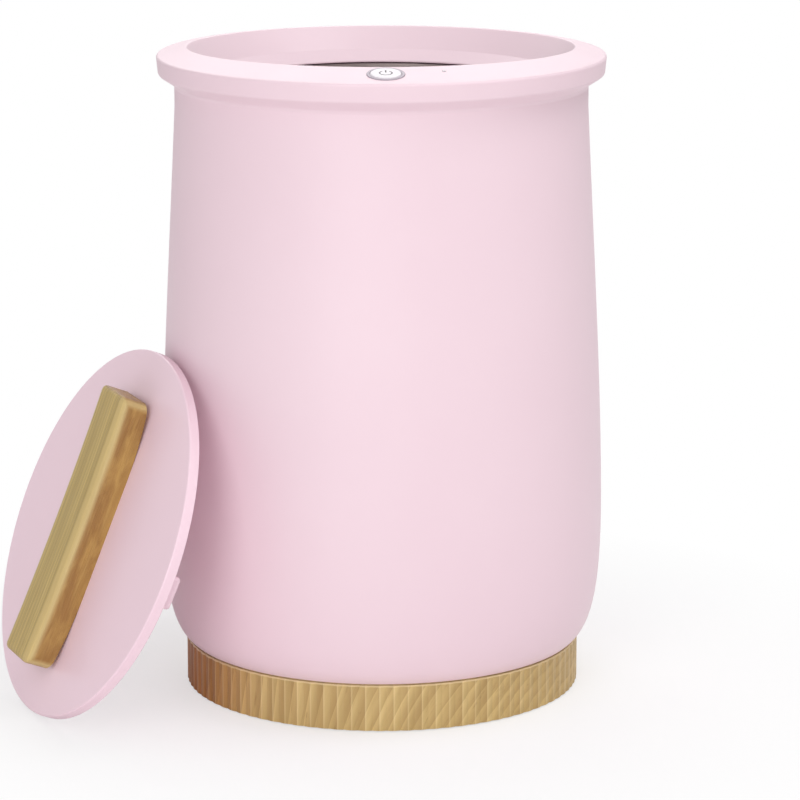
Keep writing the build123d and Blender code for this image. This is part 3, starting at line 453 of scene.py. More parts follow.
rim_radius, rim_height = 0.150, 0.430
crest_radius, crest_setback, crest_rise = 0.1315, 0.0155, 0.0064
crest_lean = math.atan2(crest_rise, 2 * crest_radius)
crest_height = rim_height + crest_rise / 2
well_setback = 0.010
throat_radius, throat_top, throat_bottom = 0.1086, 0.4091, 0.4082
ledge_radius, ledge_height = 0.1196, 0.4159
panel_wall = 0.0026
crest_flat = 0.0016
band_drop, band_draw = 0.012, 0.0012
root_rise, root_step = 0.0026, 0.0008
plug_outside, plug_inside, plug_depth = neck_radius - 0.0027, neck_radius - 0.0053, 0.006
band_wall, band_roof, rim_wall = 0.0040, 0.010, 0.0030
plug_rise, ledge_wall, throat_wall = 0.004, 0.0024, 0.0034
collar_sides = 192
# Each ring: leaning or level, its radius, its centre's setback and height, and its rounding.
collar_rings = (
    (False, throat_radius, well_setback, throat_bottom, 0),
    (False, throat_radius, well_setback, throat_top, 0.0004),
    (False, ledge_radius, well_setback, ledge_height, 0),
    (True, crest_radius - crest_flat, crest_setback, crest_height, 0.0007),
    (True, crest_radius, crest_setback, crest_height, 0.0007),
    (False, rim_radius, 0, rim_height, 0.0016),
    (False, rim_radius - band_draw, 0, rim_height - band_drop, 0.0011),
    (False, neck_radius + root_step, 0, shell_top + root_rise, 0.0016),
    (False, neck_radius, 0, shell_top, 0),
    (False, plug_outside, 0, shell_top, 0),
    (False, plug_outside, 0, shell_top - plug_depth, 0),
    (False, plug_inside, 0, shell_top - plug_depth, 0),
    (False, plug_inside, 0, shell_top + plug_rise, 0),
    (False, rim_radius - band_wall, 0, rim_height - band_roof, 0),
    (False, rim_radius - rim_wall, 0, rim_height - panel_wall, 0),
    (True, crest_radius, crest_setback, crest_height - panel_wall, 0),
    (False, ledge_radius + panel_wall, well_setback, ledge_height - ledge_wall, 0),
    (False, throat_radius + throat_wall, well_setback, throat_bottom, 0),
)
leaning, radius, setback, height, _ = collar_rings[0]
top_collar = start_ring("top_collar_skin", collar_sides, radius, (0, setback, height))
for new_leaning, new_radius, new_setback, new_height, _ in collar_rings[1:]:
    raise_ring(
        (0, setback, height), (0, new_setback, new_height), new_radius / radius,
        crest_lean * (new_leaning - leaning),
    )
    leaning, radius, setback, height = new_leaning, new_radius, new_setback, new_height
close_rings(top_collar, collar_sides, len(collar_rings) - 1)
ledge_ring = 2
for number in reversed(range(len(collar_rings))):
    if collar_rings[number][4]:
        bevel_ring(top_collar, collar_sides, number, collar_rings[number][4])
    if number == ledge_ring:
        choose_rings(top_collar, collar_sides, (number,))
        bpy.ops.mesh.mark_sharp()
bpy.ops.object.mode_set(mode="OBJECT")

button_press = next(joint for joint in frame["joints"] if joint["name"] == "button_press")
panel_out = -Vector(button_press["axis"])
button_place = Vector((0, -0.12976, 0.43381))
lens_place = Vector((0.03708, -0.12054, 0.43450))
button_hole, lens_hole, hole_depth = 0.0124, 0.0014, 0.012
combine(top_collar, drill(button_hole, hole_depth, button_place, panel_out), "DIFFERENCE")
combine(top_collar, drill(lens_hole, hole_depth, lens_place, panel_out), "DIFFERENCE")
finish_mesh(top_collar, pink_skin, "bucket", ("top_collar",))
even_shading(top_collar)


# ---- Inner pot ----
# Spun from thin aluminium sheet, with a round corner at its floor and a flat flange at its lip that
# is screwed up under the collar through a soft gasket.
def arc_rings(radius, height, corner, steps):
    """Rings down a wall at a radius and round the corner onto a floor at a height."""
    turns = (step / steps * math.pi / 2 for step in range(steps + 1))
    return [
        (radius - corner + corner * math.cos(turn), height + corner - corner * math.sin(turn))
        for turn in turns
    ]


def scaled_place(tree, scale, rotation=(0.0, 0.0, 0.0)):
    """Coordinates on the piece, turned and stretched."""
    mapping = tree.nodes.new("ShaderNodeMapping")
    mapping.vector_type = "TEXTURE"
    mapping.inputs["Rotation"].default_value = rotation
    mapping.inputs["Scale"].default_value = tuple(1.0 / value for value in scale)
    tree.links.new(own_place(tree), mapping.inputs["Vector"])
    return mapping.outputs["Vector"]


# Worked metal: fine lines left by the tool or the rolls, and a little unevenness in the shine.
worked_metal, metal_in, metal_out = node_group(
    "worked_metal",
    (("Lines", "NodeSocketVector", None), ("Place", "NodeSocketVector", None),
     ("Light", "NodeSocketColor", (0.7, 0.7, 0.7, 1)), ("Dark", "NodeSocketColor", (0.5, 0.5, 0.5, 1)),
     ("Dull", "NodeSocketFloat", 0.4)),
    (("Color", "NodeSocketColor"), ("Roughness", "NodeSocketFloat"), ("Normal", "NodeSocketVector")),
)
tool_lines = noise(worked_metal, metal_in.outputs["Lines"], 1.0, 3.0, 0.7)
patches = noise(worked_metal, metal_in.outputs["Place"], 14.0, 4.0)
metal_colour = blend_colours(
    worked_metal, spread(worked_metal, tool_lines, 0.3, 0.7, 0.0, 1.0),
    metal_in.outputs["Light"], metal_in.outputs["Dark"],
)
patch_dulling = 0.18
dulling = reckon(worked_metal, "MULTIPLY_ADD", patches, patch_dulling, metal_in.outputs["Dull"])
worked_metal.links.new(metal_colour, metal_out.inputs["Color"])
worked_metal.links.new(dulling, metal_out.inputs["Roughness"])
worked_metal.links.new(relief(worked_metal, tool_lines, 0.00004), metal_out.inputs["Normal"])


def metal(name, light, dark, dull, lines_scale):
    """Material of worked metal whose tool lines run as the scale says."""
    material, tree, shader = new_material(name, dull, 1.0)
    work = tree.nodes.new("ShaderNodeGroup")
    work.node_tree = worked_metal
    work.inputs["Light"].default_value = (*light, 1.0)
    work.inputs["Dark"].default_value = (*dark, 1.0)
    work.inputs["Dull"].default_value = dull
    tree.links.new(scaled_place(tree, lines_scale), work.inputs["Lines"])
    tree.links.new(own_place(tree), work.inputs["Place"])
    tree.links.new(work.outputs["Color"], shader.inputs["Base Color"])
    tree.links.new(work.outputs["Roughness"], shader.inputs["Roughness"])
    tree.links.new(work.outputs["Normal"], shader.inputs["Normal"])
    return material


pot_radius, pot_wall, pot_floor, pot_corner = 0.1074, 0.001, 0.078, 0.012
flange_radius, flange_top = 0.1168, 0.4072
pot_sides, corner_steps = 128, 8
floor_radii = (0.070, 0.035, 0.002)
wall_heights = [0.38 - 0.04 * step for step in range(8)]
pot_rings = [(flange_radius, flange_top - pot_wall), (flange_radius, flange_top), (pot_radius, flange_top)]
pot_rings += [(pot_radius, height) for height in wall_heights]
pot_rings += arc_rings(pot_radius, pot_floor, pot_corner, corner_steps)
pot_rings += [(radius, pot_floor) for radius in floor_radii]
under = pot_floor - pot_wall
pot_rings += [(floor_radii[-1], under), (floor_radii[0], under)]
pot_rings += reversed(arc_rings(pot_radius + pot_wall, under, pot_corner + pot_wall, corner_steps))
pot_rings += [(pot_radius + pot_wall, height) for height in reversed(wall_heights)]
pot_rings += [(pot_radius + pot_wall, flange_top - pot_wall)]
inner_pot = turn_rings("inner_pot_skin", pot_sides, pot_rings)
close_rings(inner_pot, pot_sides, len(pot_rings) - 1)
bpy.ops.mesh.select_all(action="SELECT")
bpy.ops.transform.translate(value=(0, well_setback, 0))
# Its colours are darker than bare aluminium: painted shade for the deep inside of the pot.
pot_metal = metal("spun_aluminium", (0.62, 0.54, 0.52), (0.44, 0.38, 0.37), 0.32, (30.0, 30.0, 1400.0))
finish_mesh(inner_pot, pot_metal, "bucket", ("inner_pot",))


# ---- Gasket and what heats the pot ----
# A soft dark ring seals the pot's flange against the collar. Round the wall, a printed amber film
# warms the pot under a needled felt wrap, which two rolled steel straps pull tight.
def dress(material, *nodes):
    """Give solids that stay as they are their finish."""
    for node in nodes:
        for place in frame["nodes"][node].material_slots:
            place.material = material


dress(plastic("dark_silicone", (0.075, 0.035, 0.05), (0.06, 0.03, 0.04), 0.55, 0.7), "pot_gasket")

amber_film, film_tree, film_shader = new_material("printed_film", 0.25)
film_place = own_place(film_tree)
tracks = film_tree.nodes.new("ShaderNodeTexWave")
tracks.bands_direction = "Z"
tracks.inputs["Scale"].default_value = 28.0
film_tree.links.new(film_place, tracks.inputs["Vector"])
track_mask = spread(film_tree, tracks.outputs["Fac"], 0.55, 0.7, 0.0, 1.0)
film_tint = blend_colours(
    film_tree, noise(film_tree, film_place, 30.0, 3.0), (0.62, 0.24, 0.05), (0.75, 0.34, 0.10),
)
film_tree.links.new(
    blend_colours(film_tree, track_mask, film_tint, (0.22, 0.10, 0.04)), film_shader.inputs["Base Color"]
)
film_tree.links.new(relief(film_tree, track_mask, 0.0001), film_shader.inputs["Normal"])
dress(amber_film, "heating_film")


def fibrous(name, pale, deep, size, height):
    """Matt material with a tangle of short fibres or cells of a size."""
    material, tree, shader = new_material(name, 0.92)
    place = own_place(tree)
    tangle = noise(tree, place, 1.0 / size, 8.0, 0.75, 1.5)
    lumps = noise(tree, place, 0.12 / size, 2.0)
    colour = blend_colours(tree, spread(tree, tangle, 0.35, 0.65, 0.0, 1.0), deep, pale)
    colour = blend_colours(tree, spread(tree, lumps, 0.4, 0.7, 0.0, 0.35), colour, deep)
    tree.links.new(colour, shader.inputs["Base Color"])
    tree.links.new(relief(tree, tangle, height), shader.inputs["Normal"])
    return material


dress(fibrous("needled_felt", (0.80, 0.79, 0.76), (0.58, 0.57, 0.54), 0.0012, 0.0006), "felt_wrap")
rolled_steel = metal("rolled_steel", (0.66, 0.66, 0.68), (0.50, 0.50, 0.52), 0.28, (60.0, 60.0, 900.0))
dress(rolled_steel, "clamp_straps")


# ---- Heater plate, cradle, thermostat and fuse ----
# A cast aluminium disc with a cast-in element lies under the pot on a dark glass-filled cradle.
# A ceramic thermostat and a sleeved thermal fuse sit on the wall, and cut the current if it overheats.
cast_metal, cast_tree, cast_shader = new_material("cast_heater", 0.55, 1.0)
cast_place = own_place(cast_tree)
cast_grain = noise(cast_tree, cast_place, 700.0, 4.0, 0.7)
cast_colour = blend_colours(
    cast_tree, noise(cast_tree, cast_place, 25.0, 4.0), (0.22, 0.22, 0.23), (0.42, 0.42, 0.43),
)
cast_tree.links.new(cast_colour, cast_shader.inputs["Base Color"])
cast_tree.links.new(spread(cast_tree, cast_grain, 0.3, 0.7, 0.45, 0.7), cast_shader.inputs["Roughness"])
cast_tree.links.new(relief(cast_tree, cast_grain, 0.0003), cast_shader.inputs["Normal"])
dress(cast_metal, "bottom_heater")
dark_plastic = plastic("dark_grained_plastic", (0.045, 0.045, 0.05), (0.03, 0.03, 0.034), 0.5, 0.62)
dress(dark_plastic, "pot_cradle", "base_plate", "mains_inlet")
ceramic = plastic("glazed_ceramic", (0.80, 0.77, 0.69), (0.72, 0.69, 0.60), 0.2, 0.32, 0.4)
dress(ceramic, "thermostat", "thermal_fuse", "status_led")


# ---- Power button, its ring and the indicator ----
# A white satin cap with a grey power sign moulded through it, in a thin grey-white ring pressed
# into the panel. Beside it a tiny smoked lens shows the light of an indicator on the board below.
dress(plastic("button_white", (0.80, 0.76, 0.80), (0.77, 0.73, 0.77), 0.36, 0.44), "power_button")
dress(plastic("bezel_grey", (0.40, 0.34, 0.40), (0.35, 0.30, 0.35), 0.34, 0.44), "button_bezel")
dress(plastic("symbol_grey", (0.06, 0.05, 0.06), (0.045, 0.04, 0.045), 0.5, 0.6), "button_symbol")
dress(plastic("smoked_lens", (0.13, 0.10, 0.13), (0.09, 0.07, 0.09), 0.1, 0.16, 0.6), "indicator_lens")


# ---- Control board under the panel ----
# A green lacquered board screwed to bosses under the panel, with the push switch under the button,
# a chip and a cream plug for the lead down to the power board.
def board(name, lacquer, track):
    """Lacquered circuit board with copper tracks showing through."""
    material, tree, shader = new_material(name, 0.3)
    place = own_place(tree)
    runs = tree.nodes.new("ShaderNodeTexBrick")
    runs.inputs["Scale"].default_value = 130.0
    runs.inputs["Mortar Size"].default_value = 0.045
    runs.inputs["Color1"].default_value = (*lacquer, 1.0)
    runs.inputs["Color2"].default_value = (*(0.8 * value for value in lacquer), 1.0)
    runs.inputs["Mortar"].default_value = (*track, 1.0)
    tree.links.new(place, runs.inputs["Vector"])
    tree.links.new(runs.outputs["Color"], shader.inputs["Base Color"])
    smudges = noise(tree, place, 90.0, 3.0)
    tree.links.new(spread(tree, smudges, 0.3, 0.7, 0.22, 0.36), shader.inputs["Roughness"])
    tree.links.new(relief(tree, runs.outputs["Fac"], 0.00008), shader.inputs["Normal"])
    return material


dress(board("green_board", (0.02, 0.16, 0.06), (0.05, 0.30, 0.12)), "control_board", "power_board")
black_part = plastic("black_moulding", (0.025, 0.025, 0.028), (0.02, 0.02, 0.022), 0.3, 0.42, 0.1)
dress(black_part, "tact_switch", "board_chip", "switch_plunger")
cream_part = plastic("cream_moulding", (0.76, 0.70, 0.55), (0.70, 0.64, 0.49), 0.35, 0.48)
dress(cream_part, "board_plug", "terminal_block")


# ---- Wooden foot ring ----
# Turned from pale oak-like wood, its outside cut into shallow upright flutes, with a small bevel at
# the top, under a clear satin lacquer. It hides the screws into the shell's foot.
def wood_group():
    """Wood cut from one block: long fibres, wider growth bands and small dark pores."""
    group, group_in, group_out = node_group(
        "sawn_wood",
        (("Fibres", "NodeSocketVector", None), ("Bands", "NodeSocketVector", None),
         ("Pale", "NodeSocketColor", (0.6, 0.45, 0.25, 1)),
         ("Deep", "NodeSocketColor", (0.4, 0.25, 0.1, 1)),
         ("Pore", "NodeSocketColor", (0.2, 0.1, 0.04, 1))),
        (("Color", "NodeSocketColor"), ("Roughness", "NodeSocketFloat"), ("Height", "NodeSocketFloat")),
    )
    fibres = noise(group, group_in.outputs["Fibres"], 1.0, 6.0, 0.65, 0.2)
    streaks = noise(group, group_in.outputs["Fibres"], 0.22, 3.0, 0.5, 0.6)
    bands = group.nodes.new("ShaderNodeTexWave")
    bands.wave_type = "BANDS"
    bands.bands_direction = "X"
    bands.wave_profile = "SAW"
    bands.inputs["Scale"].default_value = 1.0
    bands.inputs["Distortion"].default_value = 5.0
    bands.inputs["Detail"].default_value = 3.0
    bands.inputs["Detail Scale"].default_value = 0.8
    group.links.new(group_in.outputs["Bands"], bands.inputs["Vector"])
    growth = blend_colours(
        group, spread(group, bands.outputs["Fac"], 0.0, 1.0, 0.0, 0.75),
        group_in.outputs["Pale"], group_in.outputs["Deep"],
    )
    streaked = blend_colours(
        group, spread(group, streaks, 0.35, 0.68, 0.0, 0.6), growth, group_in.outputs["Deep"],
    )
    pores = spread(group, fibres, 0.58, 0.74, 0.0, 0.55)
    colour = blend_colours(group, pores, streaked, group_in.outputs["Pore"])
    group.links.new(colour, group_out.inputs["Color"])
    group.links.new(spread(group, fibres, 0.3, 0.7, 0.38, 0.52), group_out.inputs["Roughness"])
    group.links.new(spread(group, fibres, 0.25, 0.75, 1.0, 0.0), group_out.inputs["Height"])
    return group


sawn_wood = wood_group()


def wood(name, pale, deep, pore, grain_turn, fibre_scale, band_scale, coat):
    """Lacquered wood whose grain runs along its own Z after a turn."""
    material, tree, shader = new_material(name, 0.45)
    grain = tree.nodes.new("ShaderNodeGroup")
    grain.node_tree = sawn_wood
    for label, colour in (("Pale", pale), ("Deep", deep), ("Pore", pore)):
        grain.inputs[label].default_value = (*colour, 1.0)
    tree.links.new(scaled_place(tree, fibre_scale, grain_turn), grain.inputs["Fibres"])
    tree.links.new(scaled_place(tree, band_scale, grain_turn), grain.inputs["Bands"])
    tree.links.new(grain.outputs["Color"], shader.inputs["Base Color"])
    tree.links.new(grain.outputs["Roughness"], shader.inputs["Roughness"])
    tree.links.new(relief(tree, grain.outputs["Height"], 0.00025), shader.inputs["Normal"])
    shader.inputs["Coat Weight"].default_value = coat
    shader.inputs["Coat Roughness"].default_value = 0.35
    return material


ring_radius, ring_wall, flute_depth = 0.134, 0.005, 0.0007
ring_low, ring_high = 0.0008, 0.0315
foot_edge, top_bevel, top_draw = 0.0004, 0.0007, 0.0006
rebate_radius, rebate_depth = 0.112, 0.003
flutes = 90
points_per_flute = 8
ring_sides = flutes * points_per_flute
seam_radius, seam_top = 0.1308, foot_height
ring_rings = (
    (ring_radius - ring_wall, ring_low), (ring_radius, ring_low), (ring_radius, ring_low + foot_edge),
    (ring_radius, ring_high - top_bevel), (ring_radius - top_draw, ring_high), (seam_radius, ring_high),
    (seam_radius, seam_top), (rebate_radius, seam_top), (rebate_radius, ring_high - rebate_depth),
    (ring_radius - ring_wall, ring_high - rebate_depth),
)
fluted_rings = (1, 2, 3, 4)
base_ring = turn_rings("base_ring_skin", ring_sides, ring_rings)
close_rings(base_ring, ring_sides, len(ring_rings) - 1)
bpy.ops.object.mode_set(mode="OBJECT")
for ring in fluted_rings:
    for index in range(ring_sides):
        corner = base_ring.data.vertices[ring * ring_sides + index]
        share = index % points_per_flute / points_per_flute
        inward = 1.0 - flute_depth * (1.0 - math.sin(math.pi * share)) / ring_radius
        corner.co.x *= inward
        corner.co.y *= inward
ring_wood = wood(
    "ring_wood", (0.70, 0.52, 0.22), (0.46, 0.31, 0.11), (0.30, 0.17, 0.05),
    (0.0, math.radians(8), 0.0), (420.0, 420.0, 18.0), (34.0, 34.0, 3.0), 0.12,
)

# The block's grain leans over towards its right end, and its left end is darkened with painted shade.
ring_tree = ring_wood.node_tree
ring_axes = ring_tree.nodes.new("ShaderNodeSeparateXYZ")
ring_tree.links.new(own_place(ring_tree), ring_axes.inputs["Vector"])
lean_amount = spread(ring_tree, ring_axes.outputs["X"], -0.06, 0.12, 0.0, 0.9)
sideways = reckon(ring_tree, "MULTIPLY", lean_amount, ring_axes.outputs["Z"])
leaning_x = reckon(ring_tree, "SUBTRACT", ring_axes.outputs["X"], sideways)
leaning_place = ring_tree.nodes.new("ShaderNodeCombineXYZ")
ring_tree.links.new(leaning_x, leaning_place.inputs["X"])
ring_tree.links.new(ring_axes.outputs["Y"], leaning_place.inputs["Y"])
ring_tree.links.new(ring_axes.outputs["Z"], leaning_place.inputs["Z"])
for turned_grain in [node for node in ring_tree.nodes if node.bl_idname == "ShaderNodeMapping"]:
    ring_tree.links.new(leaning_place.outputs["Vector"], turned_grain.inputs["Vector"])
ring_grain = next(node for node in ring_tree.nodes if node.bl_idname == "ShaderNodeGroup")
# Painted shade: towards its left end, where the lid shadows it, the ring turns a darker brown.
ring_colour = blend_colours(
    ring_tree, spread(ring_tree, ring_axes.outputs["X"], -0.128, -0.080, 1.0, 0.0),
    ring_grain.outputs["Color"], (0.66, 0.33, 0.05), "MULTIPLY",
)

# Every flute has its own tone, is given painted shade darker towards its right side and a painted
# highlight along its left edge, and the bevel at the ring's top has a painted highlight too.
around_ring = reckon(ring_tree, "ARCTAN2", ring_axes.outputs["Y"], ring_axes.outputs["X"])
flute_count = reckon(ring_tree, "MULTIPLY", around_ring, flutes / (2 * math.pi))
flute_part = reckon(ring_tree, "FRACT", flute_count)
flute_tone = ring_tree.nodes.new("ShaderNodeTexWhiteNoise")
flute_tone.noise_dimensions = "1D"
ring_tree.links.new(reckon(ring_tree, "FLOOR", flute_count), flute_tone.inputs["W"])
# The second brown is painted shade on each flute's right side; the pale colour is a painted highlight.
tone_brown, painted_shade_brown, painted_highlight_pale = (0.60, 0.50, 0.36), (0.58, 0.46, 0.32), (0.86, 0.70, 0.40)
bevel_low, bevel_high = ring_high - 0.0011, ring_high - 0.0006
for amount, tint, mode in (
    (spread(ring_tree, flute_tone.outputs["Value"], 0.0, 1.0, 0.0, 0.30), tone_brown, "MULTIPLY"),
    # Painted shade towards each flute's right side.
    (spread(ring_tree, flute_part, 0.15, 1.0, 0.0, 0.38), painted_shade_brown, "MULTIPLY"),
    # Painted highlight along each flute's left edge.
    (spread(ring_tree, flute_part, 0.0, 0.14, 0.32, 0.0), painted_highlight_pale, "MIX"),
    # Painted highlight on the bevel at the ring's top.
    (spread(ring_tree, ring_axes.outputs["Z"], bevel_low, bevel_high, 0.0, 0.6), painted_highlight_pale, "MIX"),
):
    ring_colour = blend_colours(ring_tree, amount, ring_colour, tint, mode)
ring_tree.links.new(ring_colour, ring_tree.nodes["Principled BSDF"].inputs["Base Color"])
finish_mesh(base_ring, ring_wood, "bucket", ("base_ring",), math.radians(18))


# ---- Base plate, feet and screws ----
# A dark moulded plate closes the foot behind the ring, on five black rubber pads. Plain zinc-plated
# screws hold the plate, the ring, the collar, the pot and the boards.
black_rubber = fibrous("black_rubber", (0.035, 0.035, 0.035), (0.02, 0.02, 0.02), 0.0008, 0.00008)
dress(black_rubber, "feet")
fine_lines = (250.0, 250.0, 250.0)
zinc_screw = metal("zinc_plated_steel", (0.66, 0.66, 0.68), (0.54, 0.55, 0.57), 0.25, fine_lines)
dress(
    zinc_screw, "base_screws", "collar_screws", "pot_screws", "board_screws",
    "power_board_screws", "lid_screws", "handle_screws",
)


# ---- Power board and mains inlet ----
# On the plate stands a board with a blue relay, a sleeved capacitor, a small transformer of stacked
# sheets and a terminal block. The inlet at the back is a black socket with nickel-bright pins.
dress(plastic("blue_moulding", (0.03, 0.12, 0.38), (0.025, 0.10, 0.33), 0.3, 0.42, 0.1), "relay")
can_metal = metal("capacitor_can", (0.72, 0.72, 0.74), (0.60, 0.60, 0.62), 0.3, (40.0, 40.0, 600.0))
dress(can_metal, "smoothing_capacitor")
stacked_sheets = metal("stacked_sheets", (0.32, 0.31, 0.30), (0.16, 0.15, 0.15), 0.45, (20.0, 20.0, 2600.0))
dress(stacked_sheets, "transformer")
bright_pins = metal("bright_pins", (0.80, 0.72, 0.52), (0.70, 0.62, 0.42), 0.15, (80.0, 80.0, 80.0))
dress(bright_pins, "inlet_pins")


# ---- Leads inside ----
# Round sheathed leads: white from the switch and the thermostat down the front of the felt, and
# black from the inlet to the terminals.
white_sheath = plastic("white_sheath", (0.78, 0.78, 0.75), (0.70, 0.70, 0.67), 0.45, 0.6)
dress(white_sheath, "board_lead", "heater_lead")
dress(plastic("black_sheath", (0.03, 0.03, 0.03), (0.022, 0.022, 0.022), 0.45, 0.6), "inlet_lead")


# ---- Lid ----
# A round pink moulding, taken off and stood on its edge against the bucket, with a flat cover
# underneath that carries the four lugs which drop into the funnel.
lid_lift = next(joint for joint in frame["joints"] if joint["name"] == "lid_lift")
lid_out = Vector(lid_lift["axis"]).normalized()
lid_radius, lid_thickness, lid_skin, lid_rim = 0.1265, 0.0073, 0.0028, 0.0026
lid_inner = lid_radius - lid_rim
lid_low, lid_high = (Vector(corner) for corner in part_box("lid_cap"))
lid_face = (lid_low + lid_high) / 2 + lid_out * lid_thickness / 2
lid_right = Vector((lid_out.y, -lid_out.x, 0)).normalized() * -1
lid_up = lid_out.cross(lid_right)
lid_frame = Matrix.Translation(lid_face) @ Matrix((lid_right, lid_up, lid_out)).transposed().to_4x4()


def stand_on_lid(piece):
    """Carry a piece made flat on the floor's middle to its place on the leaning lid."""
    bpy.ops.object.mode_set(mode="OBJECT")
    piece.data.transform(lid_frame)


lid_sides = 160
lid_rings = (
    (0.002, -lid_skin), (lid_inner, -lid_skin), (lid_inner, -lid_thickness), (lid_radius, -lid_thickness),
    (lid_radius, 0), (0.120, 0), (0.080, 0), (0.040, 0), (0.002, 0),
)
lid_cap = turn_rings("lid_cap_skin", lid_sides, lid_rings)
face_edge, under_edge = 4, 3
bevel_ring(lid_cap, lid_sides, face_edge, 0.0012, 5)
bevel_ring(lid_cap, lid_sides, under_edge, 0.0007, 3)
bpy.ops.mesh.select_all(action="DESELECT")
bpy.ops.mesh.select_non_manifold()
bpy.ops.mesh.edge_face_add()
stand_on_lid(lid_cap)
lid_plastic = plastic("lid_satin_plastic", (0.90, 0.675, 0.755), (0.875, 0.655, 0.735), 0.34, 0.42, 0.15)
finish_mesh(lid_cap, lid_plastic, "lid", ("lid_cap",))
even_shading(lid_cap)
dress(lid_plastic, "lid_cover")
white_foam = fibrous("closed_cell_foam", (0.86, 0.86, 0.83), (0.72, 0.72, 0.69), 0.0007, 0.0003)
dress(white_foam, "lid_foam")


# ---- Lid handle ----
# A plank of the same wood across the lid, screwed from beneath at its middle. Its ends are lifted
# off the face, its top is hollowed along its length, and its upper edge is broadly rounded over.
handle_length, handle_width, handle_height = 0.189, 0.046, 0.0210
handle_dish, end_lift, handle_flat = 0.0016, 0.0046, 0.080
side_round, end_round = 0.0085, 0.0038
handle_turn = math.radians(-2.6)
handle_cuts = 24
bpy.ops.object.select_all(action="DESELECT")
bpy.ops.mesh.primitive_cube_add(size=1.0, location=(0, 0, handle_height / 2))
lid_handle = bpy.context.object
lid_handle.name = "lid_handle_bar"
lid_handle.scale = (handle_width, handle_length, handle_height)
bpy.ops.object.transform_apply(location=True, rotation=True, scale=True)


def choose_edges(piece, wanted):
    """Select the edges of a piece whose two ends pass a test, and nothing else."""
    bpy.ops.object.mode_set(mode="EDIT")
    bpy.ops.mesh.select_mode(type="EDGE")
    bpy.ops.mesh.select_all(action="DESELECT")
    bpy.ops.object.mode_set(mode="OBJECT")
    for edge in piece.data.edges:
        first, second = (piece.data.vertices[index].co for index in edge.vertices)
        edge.select = wanted(first, second)
    bpy.ops.object.mode_set(mode="EDIT")


bpy.ops.object.mode_set(mode="EDIT")
for cut in range(1, handle_cuts):
    bpy.ops.mesh.select_all(action="SELECT")
    bpy.ops.mesh.bisect(
        plane_co=(0, (cut / handle_cuts - 0.5) * handle_length, 0), plane_no=(0, 1, 0)
    )
near_top, near_side, near_end = handle_height * 0.9, handle_width * 0.49, handle_length / 2 - 0.0001
above_foot, shortest_run = handle_height * 0.4, 0.001
choose_edges(
    lid_handle,
    lambda first, second: min(first.z, second.z) > near_top
    and abs(first.y - second.y) > shortest_run
    and min(abs(first.x), abs(second.x)) > near_side,
)
bpy.ops.mesh.bevel(offset=side_round, segments=7, affect="EDGES")
choose_edges(
    lid_handle,
    lambda first, second: min(abs(first.y), abs(second.y)) > near_end
    and max(first.z, second.z) > above_foot,
)
bpy.ops.mesh.bevel(offset=end_round, segments=3, affect="EDGES")
bpy.ops.mesh.select_mode(type="VERT")
for step in range(7):
    inset = side_round * (1 - math.cos(step / 14 * math.pi))
    for side in (-1, 1):
        bpy.ops.mesh.select_all(action="SELECT")
        bpy.ops.mesh.bisect(plane_co=(side * (handle_width / 2 - inset), 0, 0), plane_no=(1, 0, 0))
        bpy.ops.mesh.select_all(action="SELECT")
        bpy.ops.mesh.bisect(plane_co=(0, side * (handle_length / 2 - inset), 0), plane_no=(0, 1, 0))
bpy.ops.object.mode_set(mode="OBJECT")
for corner in lid_handle.data.vertices:
    past_x = abs(corner.co.x) - (handle_width / 2 - side_round)
    past_y = abs(corner.co.y) - (handle_length / 2 - side_round)
    if past_x > 0 and past_y > 0 and math.hypot(past_x, past_y) > side_round:
        pull = 1 - side_round / math.hypot(past_x, past_y)
        corner.co.x -= math.copysign(past_x * pull, corner.co.x)
        corner.co.y -= math.copysign(past_y * pull, corner.co.y)
    reach = abs(corner.co.y) / (handle_length / 2)
    beyond = max(0.0, abs(corner.co.y) - handle_flat / 2) / (handle_length / 2 - handle_flat / 2)
    share = corner.co.z / handle_height
    corner.co.z += share * handle_dish * reach**2 + (1 - share) * end_lift * beyond**2
lid_handle.data.transform(Matrix.Rotation(handle_turn, 4, "Z"))
stand_on_lid(lid_handle)
handle_frame = lid_frame.to_3x3() @ Matrix.Rotation(handle_turn, 3, "Z")
grain_frame = handle_frame @ Matrix.Rotation(math.pi / 2, 3, "X")
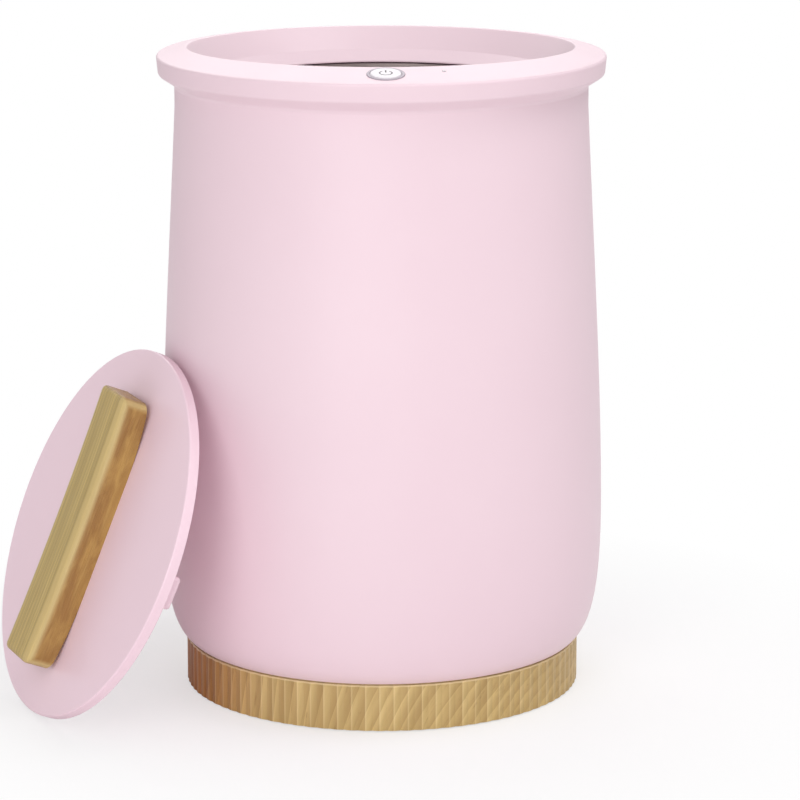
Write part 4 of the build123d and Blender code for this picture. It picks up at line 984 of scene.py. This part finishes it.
handle_wood = wood(
    "handle_wood", (0.62, 0.45, 0.14), (0.34, 0.225, 0.05), (0.17, 0.10, 0.02),
    grain_frame.to_euler(), (620.0, 620.0, 26.0), (75.0, 75.0, 5.0), 0.12,
)

# Its sides and ends turn a mottled darker brown, and its sloping edges carry a painted highlight.
handle_tree = handle_wood.node_tree
handle_place = own_place(handle_tree)
handle_across, handle_along = handle_frame.col[0], handle_frame.col[1]


def distance_out(direction):
    """How far a point on the handle lies from its middle along a direction, either way."""
    shadow = handle_tree.nodes.new("ShaderNodeVectorMath")
    shadow.operation = "DOT_PRODUCT"
    shadow.inputs[1].default_value = direction
    handle_tree.links.new(handle_place, shadow.inputs[0])
    aside = reckon(handle_tree, "SUBTRACT", shadow.outputs["Value"], lid_face.dot(direction))
    return reckon(handle_tree, "ABSOLUTE", aside)


across_out, along_out = distance_out(handle_across), distance_out(handle_along)
handle_grain = next(node for node in handle_tree.nodes if node.bl_idname == "ShaderNodeGroup")
shoulder = handle_width / 2 - side_round
# Painted highlight: the rounded shoulders along both long edges are lightened.
shoulder_highlight = blend_colours(
    handle_tree, spread(handle_tree, across_out, shoulder + 0.0005, shoulder + 0.0020, 0.0, 0.55),
    handle_grain.outputs["Color"], (0.66, 0.50, 0.23),
)
mottle_place = scaled_place(handle_tree, (110.0, 110.0, 24.0), grain_frame.to_euler())
mottle = noise(handle_tree, mottle_place, 1.0, 4.0, 0.6, 0.8)
# Towards its sides and ends the wood is multiplied by a mottled brown, so it is darker there.
edge_brown_mottle = blend_colours(
    handle_tree, spread(handle_tree, mottle, 0.40, 0.66, 0.0, 1.0), (0.58, 0.40, 0.23), (0.86, 0.70, 0.46),
)
browner = shoulder_highlight
for reach_out, edge in ((across_out, handle_width / 2), (along_out, handle_length / 2)):
    browner = blend_colours(
        handle_tree, spread(handle_tree, reach_out, edge - 0.0016, edge - 0.0003, 0.0, 1.0),
        browner, edge_brown_mottle, "MULTIPLY",
    )
handle_tree.links.new(browner, handle_tree.nodes["Principled BSDF"].inputs["Base Color"])
finish_mesh(lid_handle, handle_wood, "lid", ("lid_handle",), math.radians(30))
even_shading(lid_handle)
